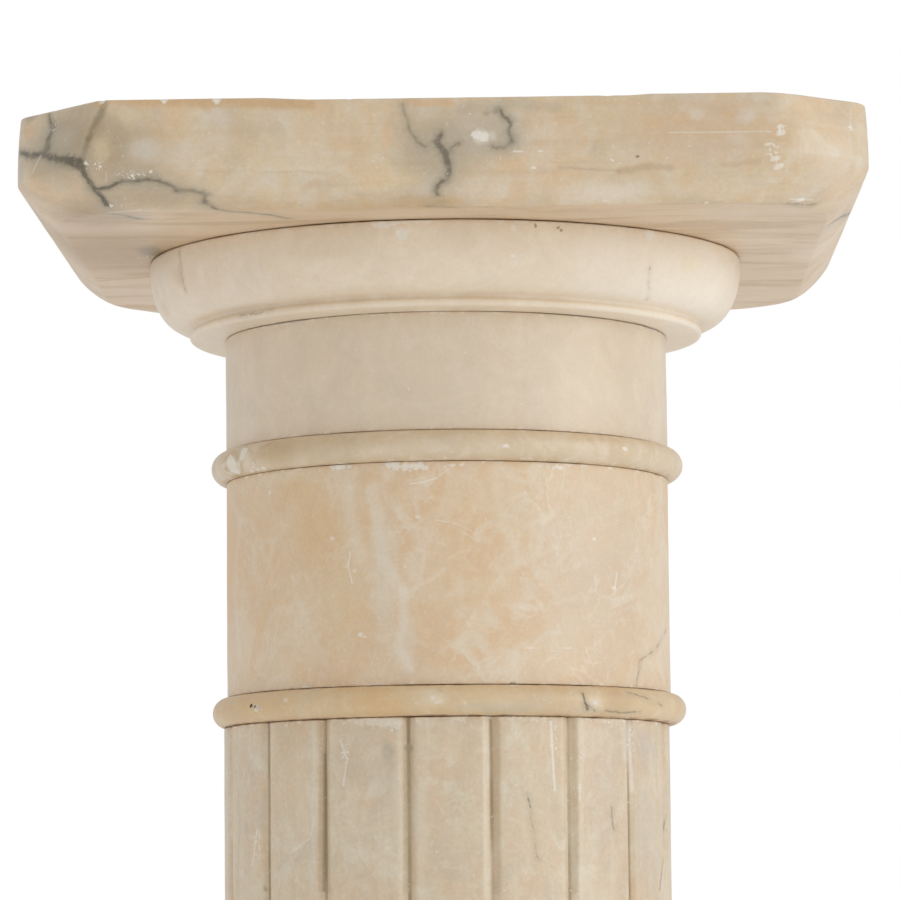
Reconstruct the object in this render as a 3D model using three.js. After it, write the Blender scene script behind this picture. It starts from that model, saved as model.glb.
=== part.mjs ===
// A Doric pedestal column of alabaster, in millimetres, with +Z up.
// The origin is the centre of the plinth's underside, and the front faces -Y.
// The column is a stack of separate stones that hold by their own weight. From the floor up:
// plinth, base moulding, foot ring, fluted shaft, lower ring, plain drum, upper ring,
// neck drum, echinus and abacus.
import * as THREE from 'three';
import { mergeVertices } from 'three/addons/utils/BufferGeometryUtils.js';

// Driving dimensions, in millimetres and degrees.
const JOINT_GAP = 0.3;            // dry joint left between two stones
const ROUND_SIDES = 64;           // sides of every turned stone
const DRUM_EDGE = 0.7;            // eased edge where a drum meets its joint
const MERGE_DISTANCE = 1e-4;      // points nearer than this are one point

const PLINTH_WIDTH = 310;         // across the flats of the plinth
const PLINTH_HEIGHT = 52;
const PLINTH_CANT = 33;           // leg of each cut corner
const PLINTH_EDGE = 2.5;          // bevel along the plinth's top edge

const BASE_HEIGHT = 36;           // base moulding
const BASE_RADIUS = 116;          // widest point of its torus
const BASE_FOOT_RADIUS = 110;     // where it stands on the plinth
const BASE_TORUS_HEIGHT = 27;
const BASE_FILLET_RADIUS = 91;    // narrow step between torus and foot ring

const RING_HEIGHT = 11.1;         // the three half-round rings
const RING_PROJECTION = 5.6;      // how far a ring stands out of the drum

const SHAFT_RADIUS = 83.7;        // over the faces of the panels, which are rounded like a drum
const SHAFT_HEIGHT = 736.7;
const SHAFT_SHIFT = 1;            // it sits this far off the column's axis, to the left
const PANEL_COUNT = 17;
const GROOVE_WIDTH = 7.4;         // at the face of the panels
const GROOVE_DEPTH = 1.9;
const GROOVE_FLOOR = 0.9;         // width of the narrow floor
const SHOULDER_WIDTH = 1.1;       // soft edge where a panel turns into its groove
const SHOULDER_DROP = 0.25;
const SHAFT_TURN = 1.05;          // the shaft stands turned a little against the slabs

const DRUM_RADIUS = 83.4;         // plain drum
const DRUM_HEIGHT = 80.3;
const NECK_RADIUS = 83.45;
const NECK_HEIGHT = 42.6;

const ECHINUS_HEIGHT = 29;
const ECHINUS_TOP_RADIUS = 110.4; // where the abacus rests
const ECHINUS_RADIUS = 112;       // widest point
const ECHINUS_WIDEST = 25.3;      // height of the widest point above the echinus's underside
const SWELL_FOOT_RADIUS = 96.1;   // where the cushion starts, above the notch
const SWELL_SHAPE_OUT = 0.76;     // 1 and 1 make a quarter ellipse, less reaches out sooner
const SWELL_SHAPE_UP = 1.1;       // more rises sooner
const BEAD_HEIGHT = 3.1;          // thin bead below the notch
const BEAD_RADIUS = 97;
const BEAD_FLAT_RADIUS = 95.6;    // the bead's underside is flat out to here
const NOTCH_DEPTH = 0.8;          // cut in behind the cushion's foot
const NOTCH_HEIGHT = 1.4;         // opening of the notch between bead and cushion

const ABACUS_WIDTH = 303.6;
const ABACUS_HEIGHT = 37.4;
const ABACUS_UPRIGHT = 21.8;      // height of the nearly upright face
const ABACUS_TOP_INSET = 1.4;     // the face leans in by this much at the top edge
const ABACUS_UNDERCUT = 14.6;     // how far the lower edge slopes in
const ABACUS_UNDERCUT_SHAPE = 1.6; // 1 rounds the lower edge under, 2 bevels it flat
const ABACUS_TOP_CANT = 30;       // leg of each cut corner at the top edge
const ABACUS_LOW_CANT = 22.5;     // and at the underside
const ABACUS_TOP_CORNER = 9;      // corner radius in plan at the top edge
const ABACUS_LOW_CORNER = 37;     // and below the upright face
const ABACUS_SHIFT = 1.5;         // the slab sits this far off the column's axis, to the right

// Heights of the joints, each stone resting on the one below.
const BASE_Z = PLINTH_HEIGHT + JOINT_GAP;
const FOOT_RING_Z = BASE_Z + BASE_HEIGHT + JOINT_GAP;
const SHAFT_Z = FOOT_RING_Z + RING_HEIGHT + JOINT_GAP;
const LOWER_RING_Z = SHAFT_Z + SHAFT_HEIGHT + JOINT_GAP;
const DRUM_Z = LOWER_RING_Z + RING_HEIGHT + JOINT_GAP;
const UPPER_RING_Z = DRUM_Z + DRUM_HEIGHT + JOINT_GAP;
const NECK_Z = UPPER_RING_Z + RING_HEIGHT + JOINT_GAP;
const ECHINUS_Z = NECK_Z + NECK_HEIGHT + JOINT_GAP;
const ABACUS_Z = ECHINUS_Z + ECHINUS_HEIGHT + JOINT_GAP;

const column = new THREE.Group();

function stone(name, geometry, z, colour, roughness) {
  const material = new THREE.MeshStandardMaterial({ color: colour, roughness, metalness: 0 });
  const mesh = new THREE.Mesh(geometry, material);
  mesh.name = name;
  mesh.position.z = z;
  column.add(mesh);
  return mesh;
}

// A signed share between -1 and 1 raised to a power.
function shaped(share, power) {
  return Math.sign(share) * Math.abs(share) ** power;
}

// Points of an elliptical arc in a turned profile, from one angle to another, in degrees.
// Within a quarter turn, the two shapes make the arc fuller or flatter than an ellipse.
function profileArc(centreR, centreZ, radiusR, radiusZ, from, to, steps, shapeR = 1, shapeZ = 1) {
  const points = [];
  for (let i = 0; i <= steps; i += 1) {
    const angle = THREE.MathUtils.degToRad(from + ((to - from) * i) / steps);
    const out = shaped(Math.cos(angle), shapeR);
    const up = shaped(Math.sin(angle), shapeZ);
    points.push([centreR + radiusR * out, centreZ + radiusZ * up]);
  }
  return points;
}

// A turned stone: the profile runs from its underside to its top and is closed on the axis.
// The two ends of the sweep, and its points on the axis, are joined into one skin.
function turned(profile) {
  const bottom = profile[0][1];
  const top = profile[profile.length - 1][1];
  const points = [[0, bottom], ...profile, [0, top]].map(([r, z]) => new THREE.Vector2(r, z));
  const sweep = new THREE.LatheGeometry(points, ROUND_SIDES).rotateX(Math.PI / 2);
  sweep.deleteAttribute('normal');
  sweep.deleteAttribute('uv');
  return withNormals(mergeVertices(sweep, MERGE_DISTANCE));
}

function withNormals(geometry) {
  geometry.computeVertexNormals();
  return geometry;
}

// A plain drum with its two edges eased.
function drum(radius, height) {
  return turned([
    [radius - DRUM_EDGE, 0],
    [radius, DRUM_EDGE],
    [radius, height - DRUM_EDGE],
    [radius - DRUM_EDGE, height],
  ]);
}

// A half-round ring, as thick as it is high, standing out of the drum beside it.
function ring(drumRadius) {
  const steps = 8;
  const half = RING_HEIGHT / 2;
  return turned(profileArc(drumRadius, half, RING_PROJECTION, half, -90, 90, steps));
}

// The echinus: a thin bead, a notch, and a cushion that swells to just below the abacus.
function echinus() {
  const halfBead = BEAD_HEIGHT / 2;
  const beadReach = BEAD_RADIUS - BEAD_FLAT_RADIUS;
  const swellFoot = BEAD_HEIGHT + NOTCH_HEIGHT;
  const swellReach = ECHINUS_RADIUS - SWELL_FOOT_RADIUS;
  const swellRise = ECHINUS_WIDEST - swellFoot;
  const shoulderReach = ECHINUS_RADIUS - ECHINUS_TOP_RADIUS;
  const shoulderHeight = ECHINUS_HEIGHT - ECHINUS_WIDEST;
  const swell = profileArc(
    SWELL_FOOT_RADIUS, ECHINUS_WIDEST, swellReach, swellRise, -90, 0, 7, SWELL_SHAPE_OUT, SWELL_SHAPE_UP,
  );
  return turned([
    ...profileArc(BEAD_FLAT_RADIUS, halfBead, beadReach, halfBead, -90, 90, 4),
    [SWELL_FOOT_RADIUS - NOTCH_DEPTH, BEAD_HEIGHT + NOTCH_HEIGHT / 2],
    ...swell,
    ...profileArc(ECHINUS_TOP_RADIUS, ECHINUS_WIDEST, shoulderReach, shoulderHeight, 0, 90, 3).slice(1),
  ]);
}

// The base moulding: a torus on the plinth, then a narrow step that carries the foot ring.
function baseMoulding() {
  const half = BASE_TORUS_HEIGHT / 2;
  const torus = profileArc(BASE_FOOT_RADIUS, half, BASE_RADIUS - BASE_FOOT_RADIUS, half, -90, 90, 8);
  return turned([
    ...torus,
    [BASE_FILLET_RADIUS + DRUM_EDGE, BASE_TORUS_HEIGHT],
    [BASE_FILLET_RADIUS, BASE_TORUS_HEIGHT + DRUM_EDGE],
    [BASE_FILLET_RADIUS, BASE_HEIGHT - DRUM_EDGE],
    [BASE_FILLET_RADIUS - DRUM_EDGE, BASE_HEIGHT],
  ]);
}

// The shaft's outline: rounded panels with a narrow soft-edged groove between each two.
function shaftOutline() {
  const panelSteps = 4;
  const pitch = (2 * Math.PI) / PANEL_COUNT;
  const half = (pitch - GROOVE_WIDTH / SHAFT_RADIUS) / 2;
  const groove = [
    [-GROOVE_WIDTH / 2 + SHOULDER_WIDTH, SHOULDER_DROP],
    [-GROOVE_FLOOR / 2, GROOVE_DEPTH],
    [GROOVE_FLOOR / 2, GROOVE_DEPTH],
    [GROOVE_WIDTH / 2 - SHOULDER_WIDTH, SHOULDER_DROP],
  ];
  const points = [];
  const axis = new THREE.Vector2();
  const add = (angle, radius) => points.push(new THREE.Vector2(radius, 0).rotateAround(axis, angle));
  for (let panel = 0; panel < PANEL_COUNT; panel += 1) {
    const middle = panel * pitch - Math.PI / 2 + THREE.MathUtils.degToRad(SHAFT_TURN);
    for (let i = 0; i <= panelSteps; i += 1) add(middle + half * ((2 * i) / panelSteps - 1), SHAFT_RADIUS);
    const grooveMiddle = middle + pitch / 2;
    for (const [across, drop] of groove) add(grooveMiddle + across / SHAFT_RADIUS, SHAFT_RADIUS - drop);
  }
  return points;
}

function shaft() {
  const outline = new THREE.Shape(shaftOutline());
  return new THREE.ExtrudeGeometry(outline, { depth: SHAFT_HEIGHT, bevelEnabled: false });
}

// Plan of a square slab with canted corners, each of its eight corners rounded.
// With a corner radius of zero the eight corners are sharp.
function cantedSquare(halfWidth, cant, cornerRadius, steps) {
  const turn = Math.PI / 4;
  const reach = cornerRadius * Math.tan(turn / 2);
  const edge = halfWidth - cant;
  const corners = [];
  for (let quarter = 0; quarter < 4; quarter += 1) {
    for (const side of [-1, 1]) {
      const corner = new THREE.Vector2(halfWidth, side * edge);
      corners.push(corner.rotateAround(new THREE.Vector2(), (quarter * Math.PI) / 2));
    }
  }
  if (cornerRadius === 0) return corners;
  const points = [];
  corners.forEach((corner, i) => {
    const before = corners[(i + corners.length - 1) % corners.length].clone().sub(corner).normalize();
    const after = corners[(i + 1) % corners.length].clone().sub(corner).normalize();
    const inward = before.clone().add(after).normalize();
    const centre = corner.clone().addScaledVector(inward, cornerRadius / Math.cos(turn / 2));
    const start = corner.clone().addScaledVector(before, reach).sub(centre);
    for (let step = 0; step <= steps; step += 1) {
      const spoke = start.clone().rotateAround(new THREE.Vector2(), (turn * step) / steps);
      points.push(centre.clone().add(spoke));
    }
  });
  return points;
}

// A closed solid through level outlines that all have as many points, lowest level first.
function loft(levels) {
  const count = levels[0].outline.length;
  const positions = levels.flatMap(({ z, outline }) => outline.flatMap((p) => [p.x, p.y, z]));
  const index = [];
  for (let level = 0; level < levels.length - 1; level += 1) {
    for (let i = 0; i < count; i += 1) {
      const a = level * count + i;
      const b = level * count + ((i + 1) % count);
      index.push(a, b, b + count, a, b + count, a + count);
    }
  }
  const lid = THREE.ShapeUtils.triangulateShape(levels[levels.length - 1].outline, []);
  const top = (levels.length - 1) * count;
  for (const [a, b, c] of lid) index.push(top + a, top + b, top + c);
  for (const [a, b, c] of THREE.ShapeUtils.triangulateShape(levels[0].outline, [])) index.push(c, b, a);
  const geometry = new THREE.BufferGeometry();
  geometry.setAttribute('position', new THREE.Float32BufferAttribute(positions, 3));
  geometry.setIndex(index);
  return withNormals(geometry);
}

// The abacus: its face leans in a little towards the top, and its lower edge slopes under.
// The cut corners are crisp at the top and grow softer down the face.
function abacus() {
  const uprightSteps = 3;
  const underSteps = 7;
  const cornerSteps = 4;
  const underHeight = ABACUS_HEIGHT - ABACUS_UPRIGHT;
  const level = (z, inset) => {
    const cant = THREE.MathUtils.lerp(ABACUS_LOW_CANT, ABACUS_TOP_CANT, z / ABACUS_HEIGHT);
    const rise = Math.max(0, z - underHeight) / ABACUS_UPRIGHT;
    const corner = THREE.MathUtils.lerp(ABACUS_LOW_CORNER, ABACUS_TOP_CORNER, rise);
    return { z, outline: cantedSquare(ABACUS_WIDTH / 2 - inset, cant, corner, cornerSteps) };
  };
  const levels = [];
  for (let i = 0; i < underSteps; i += 1) {
    const angle = (Math.PI / 2) * (1 - i / underSteps);
    const drop = i === 0 ? 1 : Math.sin(angle) ** ABACUS_UNDERCUT_SHAPE;
    const reach = i === 0 ? 0 : Math.cos(angle) ** ABACUS_UNDERCUT_SHAPE;
    levels.push(level(underHeight * (1 - drop), ABACUS_UNDERCUT * (1 - reach)));
  }
  for (let i = 0; i <= uprightSteps; i += 1) {
    const share = i / uprightSteps;
    levels.push(level(underHeight + ABACUS_UPRIGHT * share, ABACUS_TOP_INSET * share * share));
  }
  return loft(levels);
}

function plinth() {
  const outlineAt = (inset) => cantedSquare(PLINTH_WIDTH / 2 - inset, PLINTH_CANT, 0, 0);
  return loft([
    { z: 0, outline: outlineAt(0) },
    { z: PLINTH_HEIGHT - PLINTH_EDGE, outline: outlineAt(0) },
    { z: PLINTH_HEIGHT, outline: outlineAt(PLINTH_EDGE) },
  ]);
}

stone('plinth', plinth(), 0, '#cbb391', 0.42);
stone('base_moulding', baseMoulding(), BASE_Z, '#d9c6a8', 0.38);
stone('foot_ring', ring(SHAFT_RADIUS), FOOT_RING_Z, '#cfae82', 0.38);
stone('fluted_shaft', shaft(), SHAFT_Z, '#d2bea1', 0.42).position.x = -SHAFT_SHIFT;
stone('lower_ring', ring(DRUM_RADIUS), LOWER_RING_Z, '#cfab7c', 0.36);
stone('plain_drum', drum(DRUM_RADIUS, DRUM_HEIGHT), DRUM_Z, '#d8b993', 0.38);
stone('upper_ring', ring(NECK_RADIUS), UPPER_RING_Z, '#cfb48e', 0.36);
stone('neck_drum', drum(NECK_RADIUS, NECK_HEIGHT), NECK_Z, '#dccab0', 0.36);
stone('echinus', echinus(), ECHINUS_Z, '#dccbac', 0.38);
stone('abacus', abacus(), ABACUS_Z, '#ccb08b', 0.42).position.x = ABACUS_SHIFT;

export default column;
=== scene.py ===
# %% [markdown]
# # A Doric pedestal column in veined alabaster
# The real thing is a stack of ten stones: slabs, turned drums and half-round rings. They hold
# by their own weight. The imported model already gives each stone's place and size, so here every
# stone gets a finer skin of its own, with worn edges, chips, veins, stains and scratches.

# %% Open the column's frame
import math

import bpy
import numpy as np
from mathutils import Matrix, Vector
from mathutils.bvhtree import BVHTree


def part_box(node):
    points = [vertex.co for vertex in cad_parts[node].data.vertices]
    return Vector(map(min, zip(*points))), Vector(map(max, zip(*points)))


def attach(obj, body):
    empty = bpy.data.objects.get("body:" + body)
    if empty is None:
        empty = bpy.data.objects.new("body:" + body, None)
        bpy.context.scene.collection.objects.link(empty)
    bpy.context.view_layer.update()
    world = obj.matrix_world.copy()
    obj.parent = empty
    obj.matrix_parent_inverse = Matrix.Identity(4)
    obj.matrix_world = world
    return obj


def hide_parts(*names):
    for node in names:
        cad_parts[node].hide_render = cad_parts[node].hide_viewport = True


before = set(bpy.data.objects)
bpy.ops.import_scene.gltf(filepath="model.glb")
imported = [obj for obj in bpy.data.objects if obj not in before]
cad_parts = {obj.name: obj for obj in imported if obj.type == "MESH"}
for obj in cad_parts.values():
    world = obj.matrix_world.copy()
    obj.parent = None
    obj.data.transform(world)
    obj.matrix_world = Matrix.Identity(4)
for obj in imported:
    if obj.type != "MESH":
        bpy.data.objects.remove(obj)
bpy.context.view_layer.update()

print("stones:", sorted(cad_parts))

# %% [markdown]
# ## The camera
# The photograph was taken from a little under two metres, at about three quarters of the
# column's height, looking up by six degrees. The camera comes first, because the marks on the
# stones are placed through it: a mark seen at a pixel is sent out along that line of sight until
# it meets the stone. A sensor 36 mm wide and an image of 900 pixels tie the lens to the view.

# %% Set up the camera
IMAGE_SIZE = 900
SENSOR_WIDTH = 36.0
FOCAL_PIXELS = 4656.0
CAMERA_DISTANCE = 1751.0
CAMERA_HEIGHT = 751.2
CAMERA_TURN = math.radians(1.05)
CAMERA_PITCH = 0.1084
CAMERA_YAW = 0.0007
CAMERA_ROLL = -0.0098

turn = Matrix.Rotation(CAMERA_TURN, 3, "Z")
level_reach = math.cos(CAMERA_PITCH)
ahead = turn @ Vector((
    math.sin(CAMERA_YAW) * level_reach,
    math.cos(CAMERA_YAW) * level_reach,
    math.sin(CAMERA_PITCH),
))
level_right = turn @ Vector((math.cos(CAMERA_YAW), -math.sin(CAMERA_YAW), 0.0))
level_up = level_right.cross(ahead)
image_right = math.cos(CAMERA_ROLL) * level_right + math.sin(CAMERA_ROLL) * level_up
image_up = math.cos(CAMERA_ROLL) * level_up - math.sin(CAMERA_ROLL) * level_right
camera_spot = turn @ Vector((0.0, -CAMERA_DISTANCE, 0.0))
camera_spot.z = CAMERA_HEIGHT


def show(thing):
    """Puts an object into the scene."""
    bpy.context.scene.collection.objects.link(thing)
    return thing


lens = bpy.data.cameras.new("photo_camera")
lens.sensor_width = SENSOR_WIDTH
lens.lens = SENSOR_WIDTH * FOCAL_PIXELS / IMAGE_SIZE
lens.clip_start = 0.05
lens.clip_end = 60.0
camera = show(bpy.data.objects.new("photo_camera", lens))
facing = Matrix((image_right, image_up, -ahead)).transposed().to_4x4()
camera.matrix_world = Matrix.Translation(camera_spot / 1000) @ facing
bpy.context.scene.camera = camera
print("lens", round(lens.lens, 1), "mm at", [round(v) for v in camera_spot])


def line_of_sight(x, y):
    """Direction from the camera through a pixel of the photograph."""
    across = x - IMAGE_SIZE / 2
    down = y - IMAGE_SIZE / 2
    return (ahead * FOCAL_PIXELS + image_right * across - image_up * down).normalized()


# %% [markdown]
# ## Noise for worn stone
# No stone is quite even. A lattice of random numbers, smoothed between its corners, gives a
# soft noise of any size in millimetres. Hashing whole numbers keeps it the same on every run.

# %% Soft noise between -1 and 1
def lattice(x, y, z, seed):
    mixed = (x * 374761393 + y * 668265263 + z * 2147483647 + seed * 1274126177) & 0xFFFFFFFF
    mixed = ((mixed ^ (mixed >> 13)) * 1103515245) & 0xFFFFFFFF
    mixed = mixed ^ (mixed >> 16)
    return mixed / 0x7FFFFFFF - 1.0


def soft_noise(points, size, seed):
    scaled = points / size
    cell = np.floor(scaled).astype(np.int64)
    part = scaled - cell
    part = part * part * (3 - 2 * part)
    total = np.zeros(len(points))
    for corner in np.ndindex(2, 2, 2):
        weight = np.prod(np.where(np.array(corner) == 1, part, 1 - part), axis=1)
        x, y, z = (cell + np.array(corner)).T
        total += weight * lattice(x, y, z, seed)
    return total


print("noise at the origin:", soft_noise(np.zeros((1, 3)), 10.0, 1).round(3))

# %% [markdown]
# ## A stone's skin
# Turned stones and slabs are both a stack of level rows of points, each row going once round.
# Rows that start under the stone, climb its side and end on top make one closed skin when both
# ends are fanned to a middle point. The skin is made a little finer than the smallest chip, and
# is only ever worn inwards, so the stone never grows past its measured size.

# %% The skin, and what wears it
SLOW_RIPPLE, QUICK_RIPPLE = 28.0, 7.0
EVEN_WEAR = 0.12


class Stone:
    """One stone: rows of points in millimetres, with how far each point is worn in."""

    def __init__(self, node, rows):
        self.node = node
        self.levels, self.around = rows.shape[:2]
        self.points = rows.reshape(-1, 3)
        self.normals = self.skin_normals(rows).reshape(-1, 3)
        index = np.arange(self.levels * self.around).reshape(self.levels, self.around)
        beside = np.roll(index, -1, axis=1)
        quads = np.stack([index[:-1], beside[:-1], beside[1:], index[1:]], axis=-1)
        self.quads = quads.reshape(-1, 4)
        self.index = index
        self.beside = beside
        self.worn = np.zeros(len(self.points))
        self.fresh = np.zeros(len(self.points))
        self.joint = np.full(len(self.points), 50.0)
        self.groove = np.zeros(len(self.points))
        self.tree = BVHTree.FromPolygons(self.points.tolist(), self.quads.tolist())

    @staticmethod
    def skin_normals(rows):
        along = np.roll(rows, -1, axis=1) - np.roll(rows, 1, axis=1)
        climb = np.gradient(rows, axis=0)
        normals = np.cross(along, climb)
        return normals / np.maximum(np.linalg.norm(normals, axis=-1, keepdims=True), 1e-9)

    def seen(self, x, y):
        """The point of this stone at a pixel of the photograph, in millimetres."""
        hit = self.tree.ray_cast(camera_spot, line_of_sight(x, y))[0]
        if hit is None:
            hit = self.tree.find_nearest(camera_spot + line_of_sight(x, y) * CAMERA_DISTANCE)[0]
        return np.array(hit)

    def wear(self, depth):
        self.worn = np.maximum(self.worn, depth)

    def ripple(self, seed):
        """The slow waviness left by turning, rubbing and polishing."""
        slow = soft_noise(self.points, SLOW_RIPPLE, seed) * 0.10
        quick = soft_noise(self.points, QUICK_RIPPLE, seed + 1) * 0.035
        self.worn = self.worn + np.maximum(EVEN_WEAR + slow + quick, 0)

    def chip(self, x, y, size, depth, seed=5):
        """A small break, ragged at its rim, at a pixel of the photograph."""
        away = np.linalg.norm(self.points - self.seen(x, y), axis=1)
        ragged = 1 + 0.45 * soft_noise(self.points, size * 0.7, seed)
        bowl = np.clip(1 - (away / (size * ragged)) ** 2, 0, 1)
        self.wear(depth * bowl)
        self.fresh = np.maximum(self.fresh, np.minimum(bowl * 2.2, 1))

    def bites(self, edge, reach, depth, size, share, seed):
        """Scattered small bites along an arris; edge is each point's distance from it."""
        picked = np.clip((soft_noise(self.points, size, seed) - (1 - 2 * share)) * 4, 0, 1)
        near = np.clip(1 - edge / reach, 0, 1)
        bite = picked * near
        self.wear(depth * bite)
        self.fresh = np.maximum(self.fresh, np.minimum(bite * 1.5, 1))

    def make(self, slot, finish):
        """Builds the mesh, gives it its finish and puts it in place of the plain solid."""
        skin = self.points - self.normals * self.worn[:, None]
        foot = skin[: self.around].mean(axis=0)
        head = skin[-self.around :].mean(axis=0)
        count = len(skin)
        first = self.index[0]
        last = self.index[-1]
        under = np.stack([np.full(self.around, count), self.beside[0], first], axis=-1)
        over = np.stack([np.full(self.around, count + 1), last, self.beside[-1]], axis=-1)
        mesh = bpy.data.meshes.new(self.node + "_stone")
        every = np.vstack([skin, foot, head]) / 1000
        faces = self.quads.tolist() + under.tolist() + over.tolist()
        mesh.from_pydata(every.tolist(), [], faces)
        for name, values in (("joint", self.joint), ("groove", self.groove), ("fresh", self.fresh)):
            layer = mesh.attributes.new(name, "FLOAT", "POINT")
            layer.data.foreach_set("value", np.append(values, [values[0], values[-1]]))
        mesh.shade_smooth()
        mesh.materials.append(finish)
        mesh.validate()
        stone = show(bpy.data.objects.new(self.node + "_stone", mesh))
        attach(stone, "root")
        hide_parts(self.node)
        print(self.node, "faces", len(faces), "deepest wear", round(float(self.worn.max()), 2), "mm")
        return stone


# %% [markdown]
# ## Turned shapes
# A lathe copies a profile all the way round, and so does this helper. The arcs in a profile get
# points of their own, because an arris that is only half a millimetre round needs them.

# %% Arcs, straight runs and the lathe
def arc(centre_r, centre_z, reach_r, reach_z, start, stop, count, shape_r=1.0, shape_z=1.0):
    angle = np.radians(np.linspace(start, stop, count))
    out = np.sign(np.cos(angle)) * np.abs(np.cos(angle)) ** shape_r
    up = np.sign(np.sin(angle)) * np.abs(np.sin(angle)) ** shape_z
    return np.stack([centre_r + reach_r * out, centre_z + reach_z * up], axis=1)


def straight(start, stop, step):
    """Points between two ends, without the ends themselves."""
    start = np.array(start, float)
    stop = np.array(stop, float)
    count = max(2, int(np.linalg.norm(stop - start) / step))
    share = np.linspace(0, 1, count + 1)[1:-1, None]
    return start + (stop - start) * share


def lathe(profile, foot_z, around=476):
    angle = np.linspace(0, 2 * math.pi, around, endpoint=False)
    radius = profile[:, 0][:, None]
    height = np.repeat(profile[:, 1][:, None] + foot_z, around, axis=1)
    return np.stack([radius * np.cos(angle), radius * np.sin(angle), height], axis=-1)


def span(node):
    low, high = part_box(node)
    return low.z * 1000, (high.z - low.z) * 1000


# %% [markdown]
# ## Shader sums in plain Python
# A stone's colour is a long sum of soft noises, and node maths is hard to read. A small class
# holds one shader value and adds the Math nodes whenever Python does a sum with it. A second one
# holds a finish: it makes any other node in one call, with its settings set before its sockets.

# %% A shader value
class Wire:
    def __init__(self, finish, socket):
        self.finish = finish
        self.socket = socket

    def sum(self, operation, *values):
        inputs = dict(enumerate(values))
        return self.finish.node("ShaderNodeMath", {"operation": operation}, inputs)

    def __add__(self, other):
        return self.sum("ADD", self, other)

    def __radd__(self, other):
        return self.sum("ADD", other, self)

    def __sub__(self, other):
        return self.sum("SUBTRACT", self, other)

    def __rsub__(self, other):
        return self.sum("SUBTRACT", other, self)

    def __mul__(self, other):
        return self.sum("MULTIPLY", self, other)

    def __rmul__(self, other):
        return self.sum("MULTIPLY", other, self)

    def size(self):
        return self.sum("ABSOLUTE", self)

    def most(self, other):
        return self.sum("MAXIMUM", self, other)

    def least(self, other):
        return self.sum("MINIMUM", self, other)

    def fade(self, low, high):
        """Softly from 0 at low to 1 at high; from 1 to 0 where high is the smaller."""
        settings = {"interpolation_type": "SMOOTHSTEP"}
        if high > low:
            inputs = {"Value": self, "From Min": low, "From Max": high, "To Min": 0.0, "To Max": 1.0}
        else:
            inputs = {"Value": self, "From Min": high, "From Max": low, "To Min": 1.0, "To Max": 0.0}
        return self.finish.node("ShaderNodeMapRange", settings, inputs)


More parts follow.
